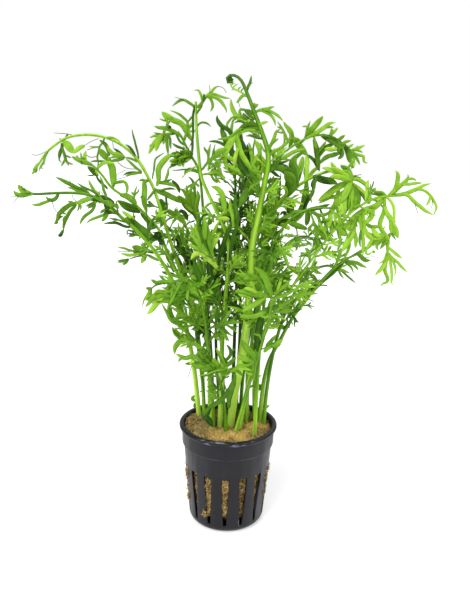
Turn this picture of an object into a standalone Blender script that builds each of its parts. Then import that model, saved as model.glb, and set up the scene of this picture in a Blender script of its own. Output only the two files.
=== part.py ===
"""A water sprite in its net pot: a finely divided fern planted in rock wool.

Units are metres, +Z is up, the pot's foot stands on Z = 0 and its axis is the Z axis. The fronds
that the photograph shows are laid along its lines of sight; those behind and in front of them
follow a rule. Every frond is one solid, from its foot in the wool to the tips of its leaflets.
"""

import math
import random

import bmesh
import bpy
from mathutils import Matrix, Vector
from mathutils.bvhtree import BVHTree

MM = 0.001

# Pot
POT_HEIGHT = 55 * MM
RIM_RADIUS = 26 * MM
COLLAR_RADIUS = 24.5 * MM
COLLAR_FOOT = 44.3 * MM
BODY_TOP_RADIUS = 23.5 * MM
BODY_FOOT_RADIUS = 20.3 * MM
FOOT_ROUNDING = 4 * MM
WALL = 1.2 * MM
POT_SIDES = 30

# Slots
SLOT_COUNT = 15
SLOT_TURN = math.radians(-91.5)
SLOT_TOP = 32.8 * MM
SLOT_FOOT = 4.6 * MM
SLOT_TOP_WIDTH = 4.5 * MM
SLOT_FOOT_WIDTH = 1.6 * MM

# Rock wool
GAP = 0.3 * MM
WOOL_PLAY = 0.55 * MM
WOOL_SIDES = 20
WOOL_EDGE = 51.5 * MM
FOOT_LEVEL = 47 * MM
POCKET_PLAY = 0.35 * MM
POCKET_LENGTH = 11 * MM

# The lumps of the wool's top in millimetres: the place across and in depth, the spread and the rise.
# The last two are the planting pit.
WOOL_MOUNDS = (
    (1, -17, 9, 1.6), (15, -9, 8, 1.9), (-15, -8, 9, 0.9), (-13, 12, 8, 0.4), (14, 13, 7, -0.9),
    (-5, 1, 7, -2.4), (8, 4, 8, -1.2),
)

# The photograph's lines of sight, in its 470 x 596 frame
EYE = Vector((2 * MM, -320.7 * MM, 206 * MM))
LOOK_DOWN = math.radians(14.5)
CAMERA_ROLL = math.radians(1.43)
FOCAL_PIXELS = 651
MIDDLE_PIXEL = (235, 298)

# Fronds
LEAF_THICKNESS = 0.85 * MM
RIB_WIDTH = 1.7 * MM
STEM_TIP_WIDTH = 1.1 * MM
JOINT_LENGTH = 2.8 * MM
SHORTEST_JOINT = 0.6 * MM
MOST_TURN = math.radians(20)
LONGEST_SEGMENT = 30 * MM
SHORTEST_SEGMENT = 1.2 * MM

# Room between pinnae: the fractions of a pinna's length from which it keeps clear of its neighbours
# and of its own stalk, and how many ways of placing it are tried
CLEARANCE = 0.3 * MM
CLEAR_OF_OTHERS = 0.12
CLEAR_OF_STALK = 0.25
TRIES = 24

# The joints of a pinna's rib that carry a pair of lobes, by the number of pairs: each joint's start and
# end, and its lobes' length, as fractions of the pinna's length
LOBE_JOINTS = {
    0: (),
    1: ((0.34, 0.56, 0.42),),
    2: ((0.26, 0.44, 0.42), (0.44, 0.62, 0.35)),
    3: ((0.22, 0.36, 0.4), (0.36, 0.5, 0.36), (0.5, 0.64, 0.3)),
    4: ((0.16, 0.24, 0.2), (0.33, 0.42, 0.26), (0.51, 0.6, 0.26), (0.7, 0.79, 0.2)),
}
STALK_END = 0.34
LONGEST_LOBE = 10.5 * MM

# Each traced frond has the depth of its foot and its tip in millimetres, the width of its foot, the
# marks that its stalk passes, and its pinnae. A mark is (across, down) in the photograph. A pinna is
# (across and down where it leaves the stalk, across and down of its tip, its tip's depth beyond the
# stalk in millimetres, pairs of lobes).
TRACED_FRONDS = {
    "frond_left_sweep": {
        "foot_depth": 8, "tip_depth": -22, "width": 2.8,
        "marks": (
            (200, 424), (197, 395), (194.5, 372), (191, 350), (187, 331), (183, 315), (176, 290),
            (168, 272), (158, 256), (149, 244), (134, 228), (121, 217), (111, 207), (101, 200),
            (89, 195), (76, 193), (57, 193), (38, 194), (29, 193.5),
        ),
        "pinnae": (
            (29, 193, 12, 197, 2, 1), (57, 194, 33, 205, -4, 1), (72, 194, 59, 236, -6, 2),
            (80, 195, 54, 223, 4, 2), (92, 197, 80, 224, 3, 1), (89, 196, 56, 178, 4, 2),
            (106, 203, 100, 176, 4, 1), (118, 214, 97, 224, -5, 1), (154, 252, 112, 247, -6, 3),
            (157, 255, 120, 265, 5, 2), (146, 240, 156, 216, -6, 1),
        ),
    },
    "frond_left_middle": {
        "foot_depth": 14, "tip_depth": -4, "width": 2.3,
        "marks": (
            (204, 417), (202.5, 377), (200, 350), (196, 325), (188, 300), (178, 275), (165, 247),
            (159, 230), (140, 209), (128, 199), (112, 188), (102, 175), (92, 165), (81, 160),
        ),
        "pinnae": (
            (81, 160, 70, 156, 2, 1), (90, 164, 85, 149, 5, 1), (99, 172, 114, 163, -4, 1),
            (105, 179, 86, 176, 5, 1), (114, 189, 127, 197, -8, 1), (134, 204, 137, 186, 6, 1),
            (142, 211, 128, 215, -5, 2), (152, 222, 168, 210, 8, 2), (162, 240, 141, 246, 10, 2),
            (170, 257, 190, 250, 10, 2),
        ),
    },
    "frond_left_arch": {
        "foot_depth": 12, "tip_depth": 30, "width": 2.6,
        "marks": (
            (210, 421), (209.7, 377), (208.4, 350), (203, 330), (195, 308), (186, 285), (176, 258),
            (167, 230), (160, 207), (154, 189), (147, 175), (138, 160), (125, 147), (108, 138),
            (89, 134.6), (71, 136.5), (60, 141.6), (47, 152), (38, 165),
        ),
        "pinnae": (
            (38, 165, 31, 175, 2, 1), (46, 153, 33, 155, 5, 0), (49, 150, 45, 169, -4, 1),
            (60, 142, 61, 165, 6, 2), (64, 140, 82, 148, -6, 2), (70, 137, 54, 133, 4, 0),
            (95, 135, 75, 153, -6, 2), (108, 138, 92, 160, 6, 2), (122, 145, 106, 168, -7, 2),
            (137, 158, 132, 130, -3, 0), (139, 162, 112, 177, 6, 2), (147, 175, 141, 195, -6, 1),
            (151, 183, 166, 158, 5, 2), (156, 195, 187, 203, 8, 2), (175, 256, 190, 268, 12, 2),
        ),
    },
    "frond_left_tuft": {
        "foot_depth": 5, "tip_depth": 4, "width": 2.2,
        "marks": (
            (214, 425), (209, 360), (205.5, 300), (204, 250), (203, 210), (199, 172), (190, 154),
            (181, 136),
        ),
        "pinnae": (
            (181, 136, 161, 112, 2, 2), (182, 137, 171, 110, -6, 1), (183, 139, 152, 126, -6, 2),
            (184, 142, 148, 140, 4, 2), (187, 147, 149, 154, -5, 2), (189, 152, 166, 157, 6, 2),
            (193, 159, 181, 163, -8, 2), (184, 141, 194, 121, 5, 1), (200, 178, 188, 195, -8, 2),
            (204, 245, 216, 234, -8, 2),
        ),
    },
    "frond_blunt_top": {
        "foot_depth": -1, "tip_depth": -8, "width": 2.9, "blunt": True,
        "marks": (
            (219.5, 432), (221.5, 375), (221.8, 350), (223, 324), (226, 290), (228.5, 262),
            (228, 242), (222, 223), (213, 204), (206.5, 190), (201, 175), (198, 149), (196.3, 124),
            (195.7, 101.5),
        ),
        "pinnae": (
            (196, 110, 173, 105, -3, 0), (196, 114, 195, 89, -12, 0), (196.5, 118, 227, 92, 5, 1),
            (196.5, 121, 227, 112, -5, 1), (197, 130, 211, 126, 4, 0), (199, 166, 182, 178, -5, 1),
            (200, 171, 227, 150, -5, 2), (201, 176, 226, 178, 5, 2), (208, 194, 190, 208, -9, 2),
            (219, 216, 240, 211, -8, 2), (228, 245, 210, 250, -9, 2),
        ),
    },
    "frond_tall_fiddlehead": {
        "foot_depth": -2, "tip_depth": -3, "width": 4.0, "coiled": True,
        "marks": (
            (229, 435), (235, 391), (239, 372), (243, 350), (246.6, 326), (248.6, 305), (250.6, 277),
            (252, 250), (255, 230), (259, 212), (265, 181), (268, 165), (267.5, 150), (261.4, 131),
            (255, 114), (248.6, 97), (242.2, 82), (237, 76.5), (231, 75), (227, 78), (228, 82.5),
            (232, 82),
        ),
        "pinnae": (
            (243, 84, 251, 78, 3, 0), (248, 96, 237, 104, -4, 1), (254, 111, 275, 107, 4, 1),
            (256, 116, 277, 127, -4, 1), (257, 118, 239, 116, 3, 2), (262, 131, 217, 139, -8, 3),
            (266, 142, 222, 168, -4, 2), (268, 155, 290, 132, -5, 2), (267, 172, 244, 186, -9, 2),
            (263, 192, 284, 186, -9, 2),
        ),
    },
    "frond_right_crown": {
        "foot_depth": 13, "tip_depth": 22, "width": 2.2,
        "marks": (
            (247.7, 420), (247, 380), (248, 340), (250, 300), (253, 260), (257, 225), (262, 195),
            (271, 168), (285, 152), (303, 140), (320, 135), (336, 139), (347, 149),
        ),
        "pinnae": (
            (347, 149, 366, 161, -3, 2), (344, 146, 366, 146, 4, 2), (338, 140, 351, 138, -4, 1),
            (322, 136, 338, 122, 4, 2), (310, 138, 324, 115, -3, 2), (304, 140, 304, 121, 3, 2),
            (336, 140, 334, 163, -7, 3), (345, 148, 354, 169, -4, 2), (312, 138, 309, 160, 7, 2),
            (290, 149, 293, 172, -8, 2), (271, 168, 252, 152, 8, 2),
        ),
    },
    "frond_right_top": {
        "foot_depth": 10, "tip_depth": 2, "width": 2.4,
        "marks": (
            (255, 424), (254.6, 391), (256, 364), (256.6, 340), (258, 310), (260, 280), (264, 251),
            (268, 226), (275, 208), (288, 193), (302, 183), (315, 176), (330, 171), (345, 171),
        ),
        "pinnae": (
            (345, 171, 363, 177, 3, 2), (339, 171, 356, 158, 4, 2), (330, 171, 322, 156, -5, 2),
            (342, 171, 348, 208, -7, 3), (334, 171, 330, 205, 5, 2), (318, 175, 312, 203, -8, 3),
            (308, 180, 303, 160, 5, 2), (298, 185, 296, 215, 6, 2), (284, 197, 281, 172, -8, 2),
            (266, 238, 286, 232, 8, 2),
        ),
    },
    "frond_right_middle": {
        "foot_depth": 3, "tip_depth": 1, "width": 2.1,
        "marks": (
            (246, 427), (248, 385), (251, 350), (256, 310), (263, 275), (273, 245), (286, 224),
            (301, 212), (317, 208), (331, 208),
        ),
        "pinnae": (
            (331, 208, 352, 203, 2, 2), (329, 208, 345, 228, -5, 3), (320, 208, 329, 243, 5, 2),
            (309, 209, 315, 258, -7, 3), (300, 213, 290, 196, 5, 2), (294, 218, 297, 250, 8, 2),
            (284, 227, 268, 214, 9, 2), (276, 240, 289, 266, -8, 2), (262, 278, 280, 290, 9, 2),
        ),
    },
    "frond_right_reach": {
        "foot_depth": -6, "tip_depth": -14, "width": 2.4,
        "marks": (
            (238.8, 437), (244.5, 401), (250, 374.6), (255, 357), (262, 340), (276.7, 310),
            (292.8, 286), (310, 262), (328, 238), (345, 218), (360, 206), (376, 198), (392, 195.5),
        ),
        "pinnae": (
            (392, 195.5, 432, 184, 2, 2), (391, 196, 434, 214, -4, 1), (389, 196, 408, 175, 4, 1),
            (388, 196, 396, 171, -3, 0), (386, 196, 399, 236, -5, 2), (380, 197, 383, 287, 3, 4),
            (375, 199, 396, 262, 9, 4), (370, 201, 367, 246, -6, 3), (364, 204, 357, 232, 5, 2),
            (350, 213, 366, 190, 5, 2), (345, 218, 342, 252, -6, 3), (328, 238, 318, 222, 4, 2),
            (292, 288, 282, 272, -7, 2),
        ),
    },
    "frond_right_sweep": {
        "foot_depth": 5.5, "tip_depth": 8, "width": 2.5,
        "marks": (
            (259, 425), (262, 395), (264.6, 377), (270, 358.6), (279, 342.5), (286, 329),
            (294, 315.7), (303.5, 303.7), (314, 290), (330, 272), (345, 260), (362, 252),
        ),
        "pinnae": (
            (362, 252, 378, 258, 2, 1), (356, 254, 370, 265, -4, 1), (352, 256, 368, 240, 4, 2),
            (344, 261, 354, 274, 4, 1), (334, 268, 341, 247, -5, 2), (316, 288, 309, 270, 6, 2),
            (288, 326, 276, 313, 6, 2), (280, 340, 283, 325, -5, 1),
        ),
    },
    "frond_dark_stem": {
        "foot_depth": 3, "tip_depth": 10, "width": 1.8,
        "marks": (
            (221, 421), (217.5, 377), (216, 344), (216.4, 310), (217.8, 280), (220, 256), (227, 234),
            (237, 218), (243, 200), (246, 180),
        ),
        "pinnae": (
            (246, 180, 247, 156, -3, 2), (245, 186, 232, 160, 4, 2), (243, 198, 256, 176, -7, 2),
            (238, 214, 220, 200, 6, 2), (232, 225, 250, 236, -8, 2),
        ),
    },
    "frond_centre_back": {
        "foot_depth": 14, "tip_depth": 26, "width": 2.0,
        "marks": (
            (236, 416), (238, 370), (240, 330), (240, 290), (238, 250), (236, 210), (235, 175),
            (233, 150),
        ),
        "pinnae": (
            (233, 150, 235, 118, 4, 2), (233, 155, 214, 130, -3, 2), (234, 165, 250, 136, 5, 2),
            (235, 180, 212, 182, 5, 2), (236, 195, 256, 200, 6, 3), (237, 230, 214, 236, 9, 3),
        ),
    },
    "frond_low_left": {
        "foot_depth": 5, "tip_depth": -8, "width": 1.8,
        "marks": (
            (205, 415), (203, 390), (200, 365), (197, 342), (194, 320), (188, 302), (176, 293),
        ),
        "pinnae": (
            (176, 293, 150, 287, 2, 2), (179, 295, 146, 301, -6, 3), (184, 299, 149, 316, 4, 3),
            (195, 326, 175, 329, -6, 2), (197, 341, 175, 351, 4, 2), (193, 318, 206, 300, -7, 2),
        ),
    },
    "frond_low_front": {
        "foot_depth": -8.5, "tip_depth": -26, "width": 2.0,
        "marks": (
            (226, 434), (225, 415), (223, 396), (219, 380), (211, 366), (201, 359),
        ),
        "pinnae": (
            (201, 359, 178, 353, 2, 2), (204, 361, 187, 377, -3, 2), (208, 364, 197, 348, 3, 1),
            (214, 370, 222, 352, -3, 2), (219, 380, 236, 373, -5, 2),
        ),
    },
    "frond_low_right": {
        "foot_depth": -10, "tip_depth": -30, "width": 2.0,
        "marks": (
            (234, 437), (243, 405), (252, 375), (260, 350), (267, 325), (272, 302),
        ),
        "pinnae": (
            (272, 302, 255, 268, -3, 2), (271, 306, 236, 290, -5, 2), (269, 314, 240, 316, 4, 2),
            (272, 303, 292, 280, 3, 2), (264, 335, 283, 334, -4, 2), (258, 356, 242, 343, -4, 1),
        ),
    },
}

# Fronds by rule, behind and in front of the others: azimuth in degrees, reach, height and droop of
# the tip in millimetres, the foot's place from the pot's axis, and the length of the lowest pinnae
RULED_FRONDS = {
    "frond_back_left": (122, 66, 168, 20, (-9, 16), 25),
    "frond_back_middle": (84, 48, 196, 10, (2, 18.5), 25),
    "frond_back_right": (48, 74, 160, 24, (6.5, 17.5), 25),
    "frond_back_low": (100, 72, 118, 28, (-3, 13), 24),
    "frond_side_right": (20, 48, 150, 20, (19, 0.5), 22),
    "frond_front_left": (248, 46, 150, 18, (-9, -5), 23),
    "frond_front_right": (285, 38, 165, 14, (14, -11), 23),
}
RULED_WIDTH = 2.2 * MM

# The pairs of pinnae on such a frond: the place along the stalk, their length as a share of the
# lowest pair's, and their pairs of lobes
RULED_PINNAE = ((0.52, 1.0, 3), (0.69, 0.78, 2), (0.86, 0.56, 1))


def add_object(name, mesh, collection, material=None):
    """A named object in a collection, with its material."""
    thing = bpy.data.objects.new(name, mesh)
    collection.objects.link(thing)
    if material:
        mesh.materials.append(material)
    return thing


def mesh_from(bm, name):
    """The bmesh as a mesh with its faces pointing out."""
    bmesh.ops.recalc_face_normals(bm, faces=bm.faces)
    mesh = bpy.data.meshes.new(name)
    bm.to_mesh(mesh)
    bm.free()
    return mesh


def plain_material(name, colour, roughness):
    """A Principled material with one colour and roughness."""
    material = bpy.data.materials.new(name)
    material.use_nodes = True
    shader = material.node_tree.nodes["Principled BSDF"]
    shader.inputs["Base Color"].default_value = (*colour, 1)
    shader.inputs["Roughness"].default_value = roughness
    shader.inputs["Metallic"].default_value = 0
    return material


def cut_with(thing, cutter):
    """Takes the cutter out of the thing, and hides the cutter."""
    boolean = thing.modifiers.new("cut", "BOOLEAN")
    boolean.operation = "DIFFERENCE"
    boolean.solver = "EXACT"
    boolean.object = cutter
    cutter.hide_render = True
    cutter.display_type = "WIRE"


def inner_radius(height):
    """The radius of the pot's inside at a height on its tapered body."""
    up = (height - FOOT_ROUNDING) / (COLLAR_FOOT - FOOT_ROUNDING)
    return BODY_FOOT_RADIUS + (BODY_TOP_RADIUS - BODY_FOOT_RADIUS) * up - WALL


def pot_profile():
    """The pot's half section: down its outer side from the lip, across the foot, and up its inner side."""
    lip = POT_HEIGHT
    outer = [
        (COLLAR_RADIUS - 0.4 * MM, lip), (RIM_RADIUS - 0.3 * MM, lip - 0.2 * MM),
        (RIM_RADIUS, lip - 1.8 * MM), (COLLAR_RADIUS + 0.2 * MM, lip - 2.2 * MM),
        (COLLAR_RADIUS - 0.2 * MM, COLLAR_FOOT), (BODY_TOP_RADIUS, COLLAR_FOOT - 0.4 * MM),
    ]
    centre = BODY_FOOT_RADIUS - FOOT_ROUNDING
    for degrees in (0, 45, 90):
        turn = math.radians(degrees)
        outer.append((centre + FOOT_ROUNDING * math.cos(turn), FOOT_ROUNDING * (1 - math.sin(turn))))
    inner = [
        (0, 0), (0, WALL), (centre, WALL), (inner_radius(FOOT_ROUNDING), FOOT_ROUNDING),
        (inner_radius(COLLAR_FOOT), COLLAR_FOOT), (COLLAR_RADIUS - WALL, lip - 0.8 * MM),
    ]
    return outer + inner


def slot_cutter(collection):
    """Every slot's wedge in one mesh: a tapered block through the wall, wider at its top."""
    bm = bmesh.new()
    reach = RIM_RADIUS
    start = BODY_FOOT_RADIUS - 6 * MM
    for index in range(SLOT_COUNT):
        wedge = bmesh.ops.create_cube(bm, size=1)["verts"]
        turn = Matrix.Rotation(SLOT_TURN + math.tau * index / SLOT_COUNT, 4, "Z")
        for vertex in wedge:
            top = vertex.co.z > 0
            width = SLOT_TOP_WIDTH if top else SLOT_FOOT_WIDTH
            place = (reach if vertex.co.x > 0 else start, vertex.co.y * width, SLOT_TOP if top else SLOT_FOOT)
            vertex.co = turn @ Vector(place)
    return add_object("slot_cutter", mesh_from(bm, "slot_cutter"), collection)


def make_pot(collection, cutters):
    """The black net pot: a turned cup with a stepped collar, a beaded rim and slots."""
    bm = bmesh.new()
    points = [bm.verts.new((radius, 0, height)) for radius, height in pot_profile()]
    for first, second in zip(points, points[1:] + points[:1]):
        bm.edges.new((first, second))
    axis = [edge for edge in bm.edges if all(abs(vertex.co.x) < 1e-9 for vertex in edge.verts)]
    bmesh.ops.delete(bm, geom=axis, context="EDGES")
    mesh = bpy.data.meshes.new("pot")
    bm.to_mesh(mesh)
    bm.free()
    pot = add_object("pot", mesh, collection, plain_material("pot_plastic", (0.03, 0.03, 0.042), 0.42))
    screw = pot.modifiers.new("turn", "SCREW")
    screw.steps = POT_SIDES
    screw.render_steps = POT_SIDES
    screw.use_merge_vertices = True
    screw.merge_threshold = 0.00001
    screw.use_smooth_shade = False
    cut_with(pot, slot_cutter(cutters))


def wool_height(x, y):
    """The wool's lumpy top: an even bed, mounds at the front and sides, and the planting pit."""
    height = WOOL_EDGE
    for across, deep, spread, rise in WOOL_MOUNDS:
        away = math.hypot(x / MM - across, y / MM - deep) / spread
        height += rise * MM * math.exp(-away * away)
    return height


def make_wool(collection, cutters, fronds):
    """The block of rock wool: it fills the pot to just under the rim, with a pocket for every stalk."""
    foot_radius = inner_radius(FOOT_ROUNDING)
    rings = [
        (foot_radius - 3.3 * MM, WALL + GAP), (foot_radius - WOOL_PLAY, FOOT_ROUNDING + 2 * GAP),
        (inner_radius(COLLAR_FOOT) - WOOL_PLAY / 2, WOOL_EDGE - 2 * MM),
        (inner_radius(COLLAR_FOOT) - 1.8 * MM, None), (14 * MM, None), (7 * MM, None),
    ]
    bm = bmesh.new()
    bmesh.ops.create_circle(bm, cap_ends=True, radius=1, segments=WOOL_SIDES)
    face = bm.faces[:][0]
    for index, (radius, height) in enumerate(rings):
        if index > 0:
            face = bmesh.ops.extrude_discrete_faces(bm, faces=[face])["faces"][0]
        for vertex in face.verts:
            x, y = Vector(vertex.co.xy).normalized() * radius
            vertex.co = Vector((x, y, wool_height(x, y) if height is None else height))
    bmesh.ops.poke(bm, faces=[face])["verts"][0].co.z = wool_height(0, 0)
    close_open_end(bm)
    wool = add_object("rock_wool", mesh_from(bm, "rock_wool"), collection,
                      plain_material("rock_wool", (0.42, 0.27, 0.09), 0.95))
    pockets = bmesh.new()
    for frond in fronds:
        low = frond.section(-POCKET_PLAY, POCKET_PLAY)
        first_cut = stalk_cuts(frond)[0][0]
        top, side, normal, width, thickness = frond.section(first_cut, POCKET_PLAY)
        centre = low[0].lerp(top, min(1, POCKET_LENGTH / first_cut))
        pull(pockets, first_face(pockets, low), (centre, side, normal, width, thickness))
    close_open_end(pockets)
    cut_with(wool, add_object("pocket_cutter", mesh_from(pockets, "pocket_cutter"), cutters))


VIEW = Matrix.Rotation(math.pi / 2 - LOOK_DOWN, 3, "X") @ Matrix.Rotation(CAMERA_ROLL, 3, "Z")


def sight(across, down):
    """The direction of the line of sight through a pixel of the photograph."""
    return VIEW @ Vector((across - MIDDLE_PIXEL[0], MIDDLE_PIXEL[1] - down, -FOCAL_PIXELS))


def on_sight_line(across, down, depth):
    """The point at this depth (Y) that the photograph shows at this pixel."""
    ray = sight(across, down)
    return EYE + ray * ((depth - EYE.y) / ray.y)


def square_to(vector, axis):
    """The unit vector nearest to the given one that is square to the axis."""
    return (vector - axis * vector.dot(axis)).normalized()


def smooth_through(marks, steps=10):
    """Points on a smooth curve through the marks."""
    ends = [marks[0] * 2 - marks[1], *marks, marks[-1] * 2 - marks[-2]]
    points = []
    for a, b, c, d in zip(ends, ends[1:], ends[2:], ends[3:]):
        for step in range(steps):
            t = step / steps
            points.append(0.5 * (2 * b + (c - a) * t + (2 * a - 5 * b + 4 * c - d) * t * t
                                 + (3 * b - a - 3 * c + d) * t ** 3))
    return [*points, marks[-1]]


class Route:
    """A smooth curve, measured along its length."""

    def __init__(self, marks):
        self.points = smooth_through(marks)
        self.lengths = [0.0]
        for first, second in zip(self.points, self.points[1:]):
            self.lengths.append(self.lengths[-1] + (second - first).length)
        self.length = self.lengths[-1]

    def at(self, distance):
        """The point at a distance from the start, also a little before it or past the end."""
        index = 0
        while index < len(self.points) - 2 and self.lengths[index + 1] < distance:
            index += 1
        span = self.lengths[index + 1] - self.lengths[index]
        return self.points[index].lerp(self.points[index + 1], (distance - self.lengths[index]) / span)

    def heading(self, distance):
        """The direction of the curve there."""
        step = 0.8 * MM
        return (self.at(distance + step) - self.at(distance - step)).normalized()

    def nearest(self, across, down):
        """The distance at which the curve passes closest to a line of sight."""
        ray = sight(across, down).normalized()
        away = [(point - EYE).cross(ray).length for point in self.points]
        return self.lengths[away.index(min(away))]


class Frond:
    """A stalk's route, its width along the route, and where its pinnae leave it."""

    def __init__(self, name, marks, width, across, blunt=False, coiled=False):
        first, second = marks[:2]
        sink = (second.z - FOOT_LEVEL) / (second.z - first.z)
        marks = [second + (first - second) * sink, *marks[1:]]
        self.name = name
        self.route = Route(marks)
        self.foot_width = width
        self.across = across
        self.blunt = blunt
        self.coiled = coiled
        self.wishes = []
        self.pinnae = []

    def width(self, distance):
        """The stalk's width there: it tapers from the foot to the tip."""
        left = 1 - min(max(distance / self.route.length, 0), 1)
        return STEM_TIP_WIDTH + (self.foot_width - STEM_TIP_WIDTH) * left ** 0.85

    def section(self, distance, margin=0.0):
        """The stalk's section there: centre, side, normal, width and thickness."""
        heading = self.route.heading(distance)
        side = square_to(self.across, heading)
        width = self.width(distance) + 2 * margin
        return self.route.at(distance), side, heading.cross(side), width, width * 0.9


class Pinna:
    """One branch of a frond: a rib that bends to its tip, with pairs of lobes along it."""

    def __init__(self, frond, start, tip, pairs, chance, toward_viewer, turn):
        self.start = start
        self.tip = tip
        self.pairs = pairs
        heading = frond.route.heading(start)
        centre = frond.route.at(start)
        self.root = centre + square_to(tip - centre, heading) * frond.width(start) / 2
        chord = self.tip - self.root
        self.length = chord.length
        bow = square_to(heading, chord.normalized()) * self.length * chance.uniform(0.08, 0.2)
        self.middle = self.root + chord / 2 + bow
        outward = Vector((self.root.x, self.root.y, 0)).normalized()
        drift = Vector([chance.uniform(-1, 1) for _ in range(3)])
        self.facing = outward * 0.45 + Vector((0, -toward_viewer, 0.55)) + drift * 0.35
        self.turn = turn + chance.uniform(-0.35, 0.35)
        self.lobes = []
        for first, second, part in LOBE_JOINTS[pairs]:
            for sign in (-1, 1):
                self.lobes.append(self.lobe_tip((first + second) / 2, sign, part, chance))

    def lobe_tip(self, fraction, sign, part, chance):
        """The tip of the lobe that leaves the rib at a fraction of its length."""
        point, side, normal, width, _ = self.section(fraction)
        lean = chance.uniform(0.62, 0.95)
        rise = chance.uniform(-0.25, 0.25)
        length = min(self.length * part, LONGEST_LOBE) * chance.uniform(0.82, 1.18)
        direction = self.tangent(fraction) * math.cos(lean) + side * sign * math.sin(lean) + normal * rise
        return point + side * sign * width / 2 + direction.normalized() * length

    def tangent(self, fraction):
        """The rib's direction at a fraction of its length."""
        first, second = self.middle - self.root, self.tip - self.middle
        return first.lerp(second, fraction).normalized()

    def section(self, fraction, margin=0.0):
        """The rib's section there: centre, side, normal, width and thickness."""
        first = self.root.lerp(self.middle, fraction)
        point = first.lerp(self.middle.lerp(self.tip, fraction), fraction)
        tangent = self.tangent(fraction)
        normal = Matrix.Rotation(self.turn, 3, tangent) @ square_to(self.facing, tangent)
        width = RIB_WIDTH * (1.15 - 0.5 * fraction) * min(1, self.length / (14 * MM)) + 2 * margin
        return point, normal.cross(tangent), normal, width, LEAF_THICKNESS + 2 * margin


def first_face(bm, section):
    """A lone four-sided face on a section, from which a solid is pulled."""
    centre, side, normal, width, thickness = section
    corners = ((1, 1), (-1, 1), (-1, -1), (1, -1))
    ring = [bm.verts.new(centre + side * a * width / 2 + normal * b * thickness / 2) for a, b in corners]
    return bm.faces.new(ring)


def pull(bm, face, section):
    """Draws a face out to a section. Gives the new end, and the walls on the normal, left, back and right."""
    centre, side, normal, width, thickness = section
    middle = face.calc_center_median()
    end = bmesh.ops.extrude_discrete_faces(bm, faces=[face])["faces"][0]
    ring = list(end.verts)
    corners = [side * a * width / 2 + normal * b * thickness / 2
               for a, b in ((1, 1), (-1, 1), (-1, -1), (1, -1))]

    def twist(start):
        return sum((ring[(start + k) % 4].co - middle - corners[k]).length_squared for k in range(4))

    start = min(range(4), key=twist)
    ring = ring[start:] + ring[:start]
    for vertex, corner in zip(ring, corners):
        vertex.co = centre + corner
    walls = []
    for first, second in zip(ring, ring[1:] + ring[:1]):
        edge = bm.edges.get((first, second))
        walls.append(next(wall for wall in edge.link_faces if wall is not end))
    return end, walls


def draw_to_point(bm, face, point):
    """Ends a face in a pyramid with its tip at the point."""
    bmesh.ops.poke(bm, faces=[face])["verts"][0].co = point


def close_open_end(bm):
    """Fills the open foot that pulling leaves behind."""
    bmesh.ops.holes_fill(bm, edges=[edge for edge in bm.edges if edge.is_boundary])


def grow_pinna(bm, face, pinna, margin=0.0):
    """Pulls a pinna out of a face: its rib from cut to cut, a lobe on each side of a joint, and its tip."""
    lobes = iter(pinna.lobes)
    reached = None
    for first, second, _ in LOBE_JOINTS[pinna.pairs]:
        if first != reached:
            face, _ = pull(bm, face, pinna.section(first, margin))
        face, walls = pull(bm, face, pinna.section(second, margin))
        for wall in (walls[1], walls[3]):
            draw_to_point(bm, wall, next(lobes))
        reached = second
    if reached is None:
        face, _ = pull(bm, face, pinna.section(STALK_END, margin))
    draw_to_point(bm, face, pinna.tip)


class Shell:
    """A closed or open skin with its box, to find what would touch."""

    def __init__(self, bm):
        self.tree = BVHTree.FromBMesh(bm)
        self.low = [min(vertex.co[axis] for vertex in bm.verts) for axis in range(3)]
        self.high = [max(vertex.co[axis] for vertex in bm.verts) for axis in range(3)]
        bm.free()

    def touches(self, other):
        """Whether the two skins cross."""
        apart = any(self.low[k] > other.high[k] or self.high[k] < other.low[k] for k in range(3))
        return not apart and bool(self.tree.overlap(other.tree))


def pinna_shell(pinna, start, margin=0.0):
    """The skin of a pinna from a fraction of its length on."""
    bm = bmesh.new()
    grow_pinna(bm, first_face(bm, pinna.section(start, margin)), pinna, margin)
    return Shell(bm)


def stalk_shell(frond):
    """The skin of a bare stalk."""
    bm = bmesh.new()
    face = first_face(bm, frond.section(0, CLEARANCE / 2))
    count = math.ceil(frond.route.length / (2.5 * MM))
    for step in range(1, count + 1):
        face, _ = pull(bm, face, frond.section(frond.route.length * step / count, CLEARANCE / 2))
    return Shell(bm)


def traced_frond(name, facts):
    """A frond that the photograph shows: its marks at depths that run from its foot to its tip."""
    marks = facts["marks"]
    last = len(marks) - 1
    points = []
    for index, (across, down) in enumerate(marks):
        depth = facts["foot_depth"] + (facts["tip_depth"] - facts["foot_depth"]) * (index / last) ** 1.4
        points.append(on_sight_line(across, down, depth * MM))
    frond = Frond(name, points, facts["width"] * MM, Vector((0, 1, 0)),
                  facts.get("blunt", False), facts.get("coiled", False))
    frond.wishes = [("traced", *pinna) for pinna in facts["pinnae"]]
    return frond


def ruled_frond(name, facts):
    """A frond by rule: it rises from its foot, arches outwards and droops, with paired pinnae."""
    degrees, reach, height, droop, foot, longest = facts
    turn = math.radians(degrees)
    out = Vector((math.cos(turn), math.sin(turn), 0))
    start = Vector((foot[0] * MM, foot[1] * MM, FOOT_LEVEL))
    points = []
    for step in range(9):
        t = step / 8
        rise = (height * MM - FOOT_LEVEL) * (1 - (1 - t) ** 1.9) - droop * MM * t ** 5
        points.append(start + out * reach * MM * t ** 1.9 + Vector((0, 0, rise)))
    frond = Frond(name, points, RULED_WIDTH, Vector((-out.y, out.x, 0)))
    for along, share, pairs in RULED_PINNAE:
        for side in (-1, 1):
            frond.wishes.append(("ruled", along + 0.008 * side, side, longest * share, pairs))
    return frond


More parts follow.
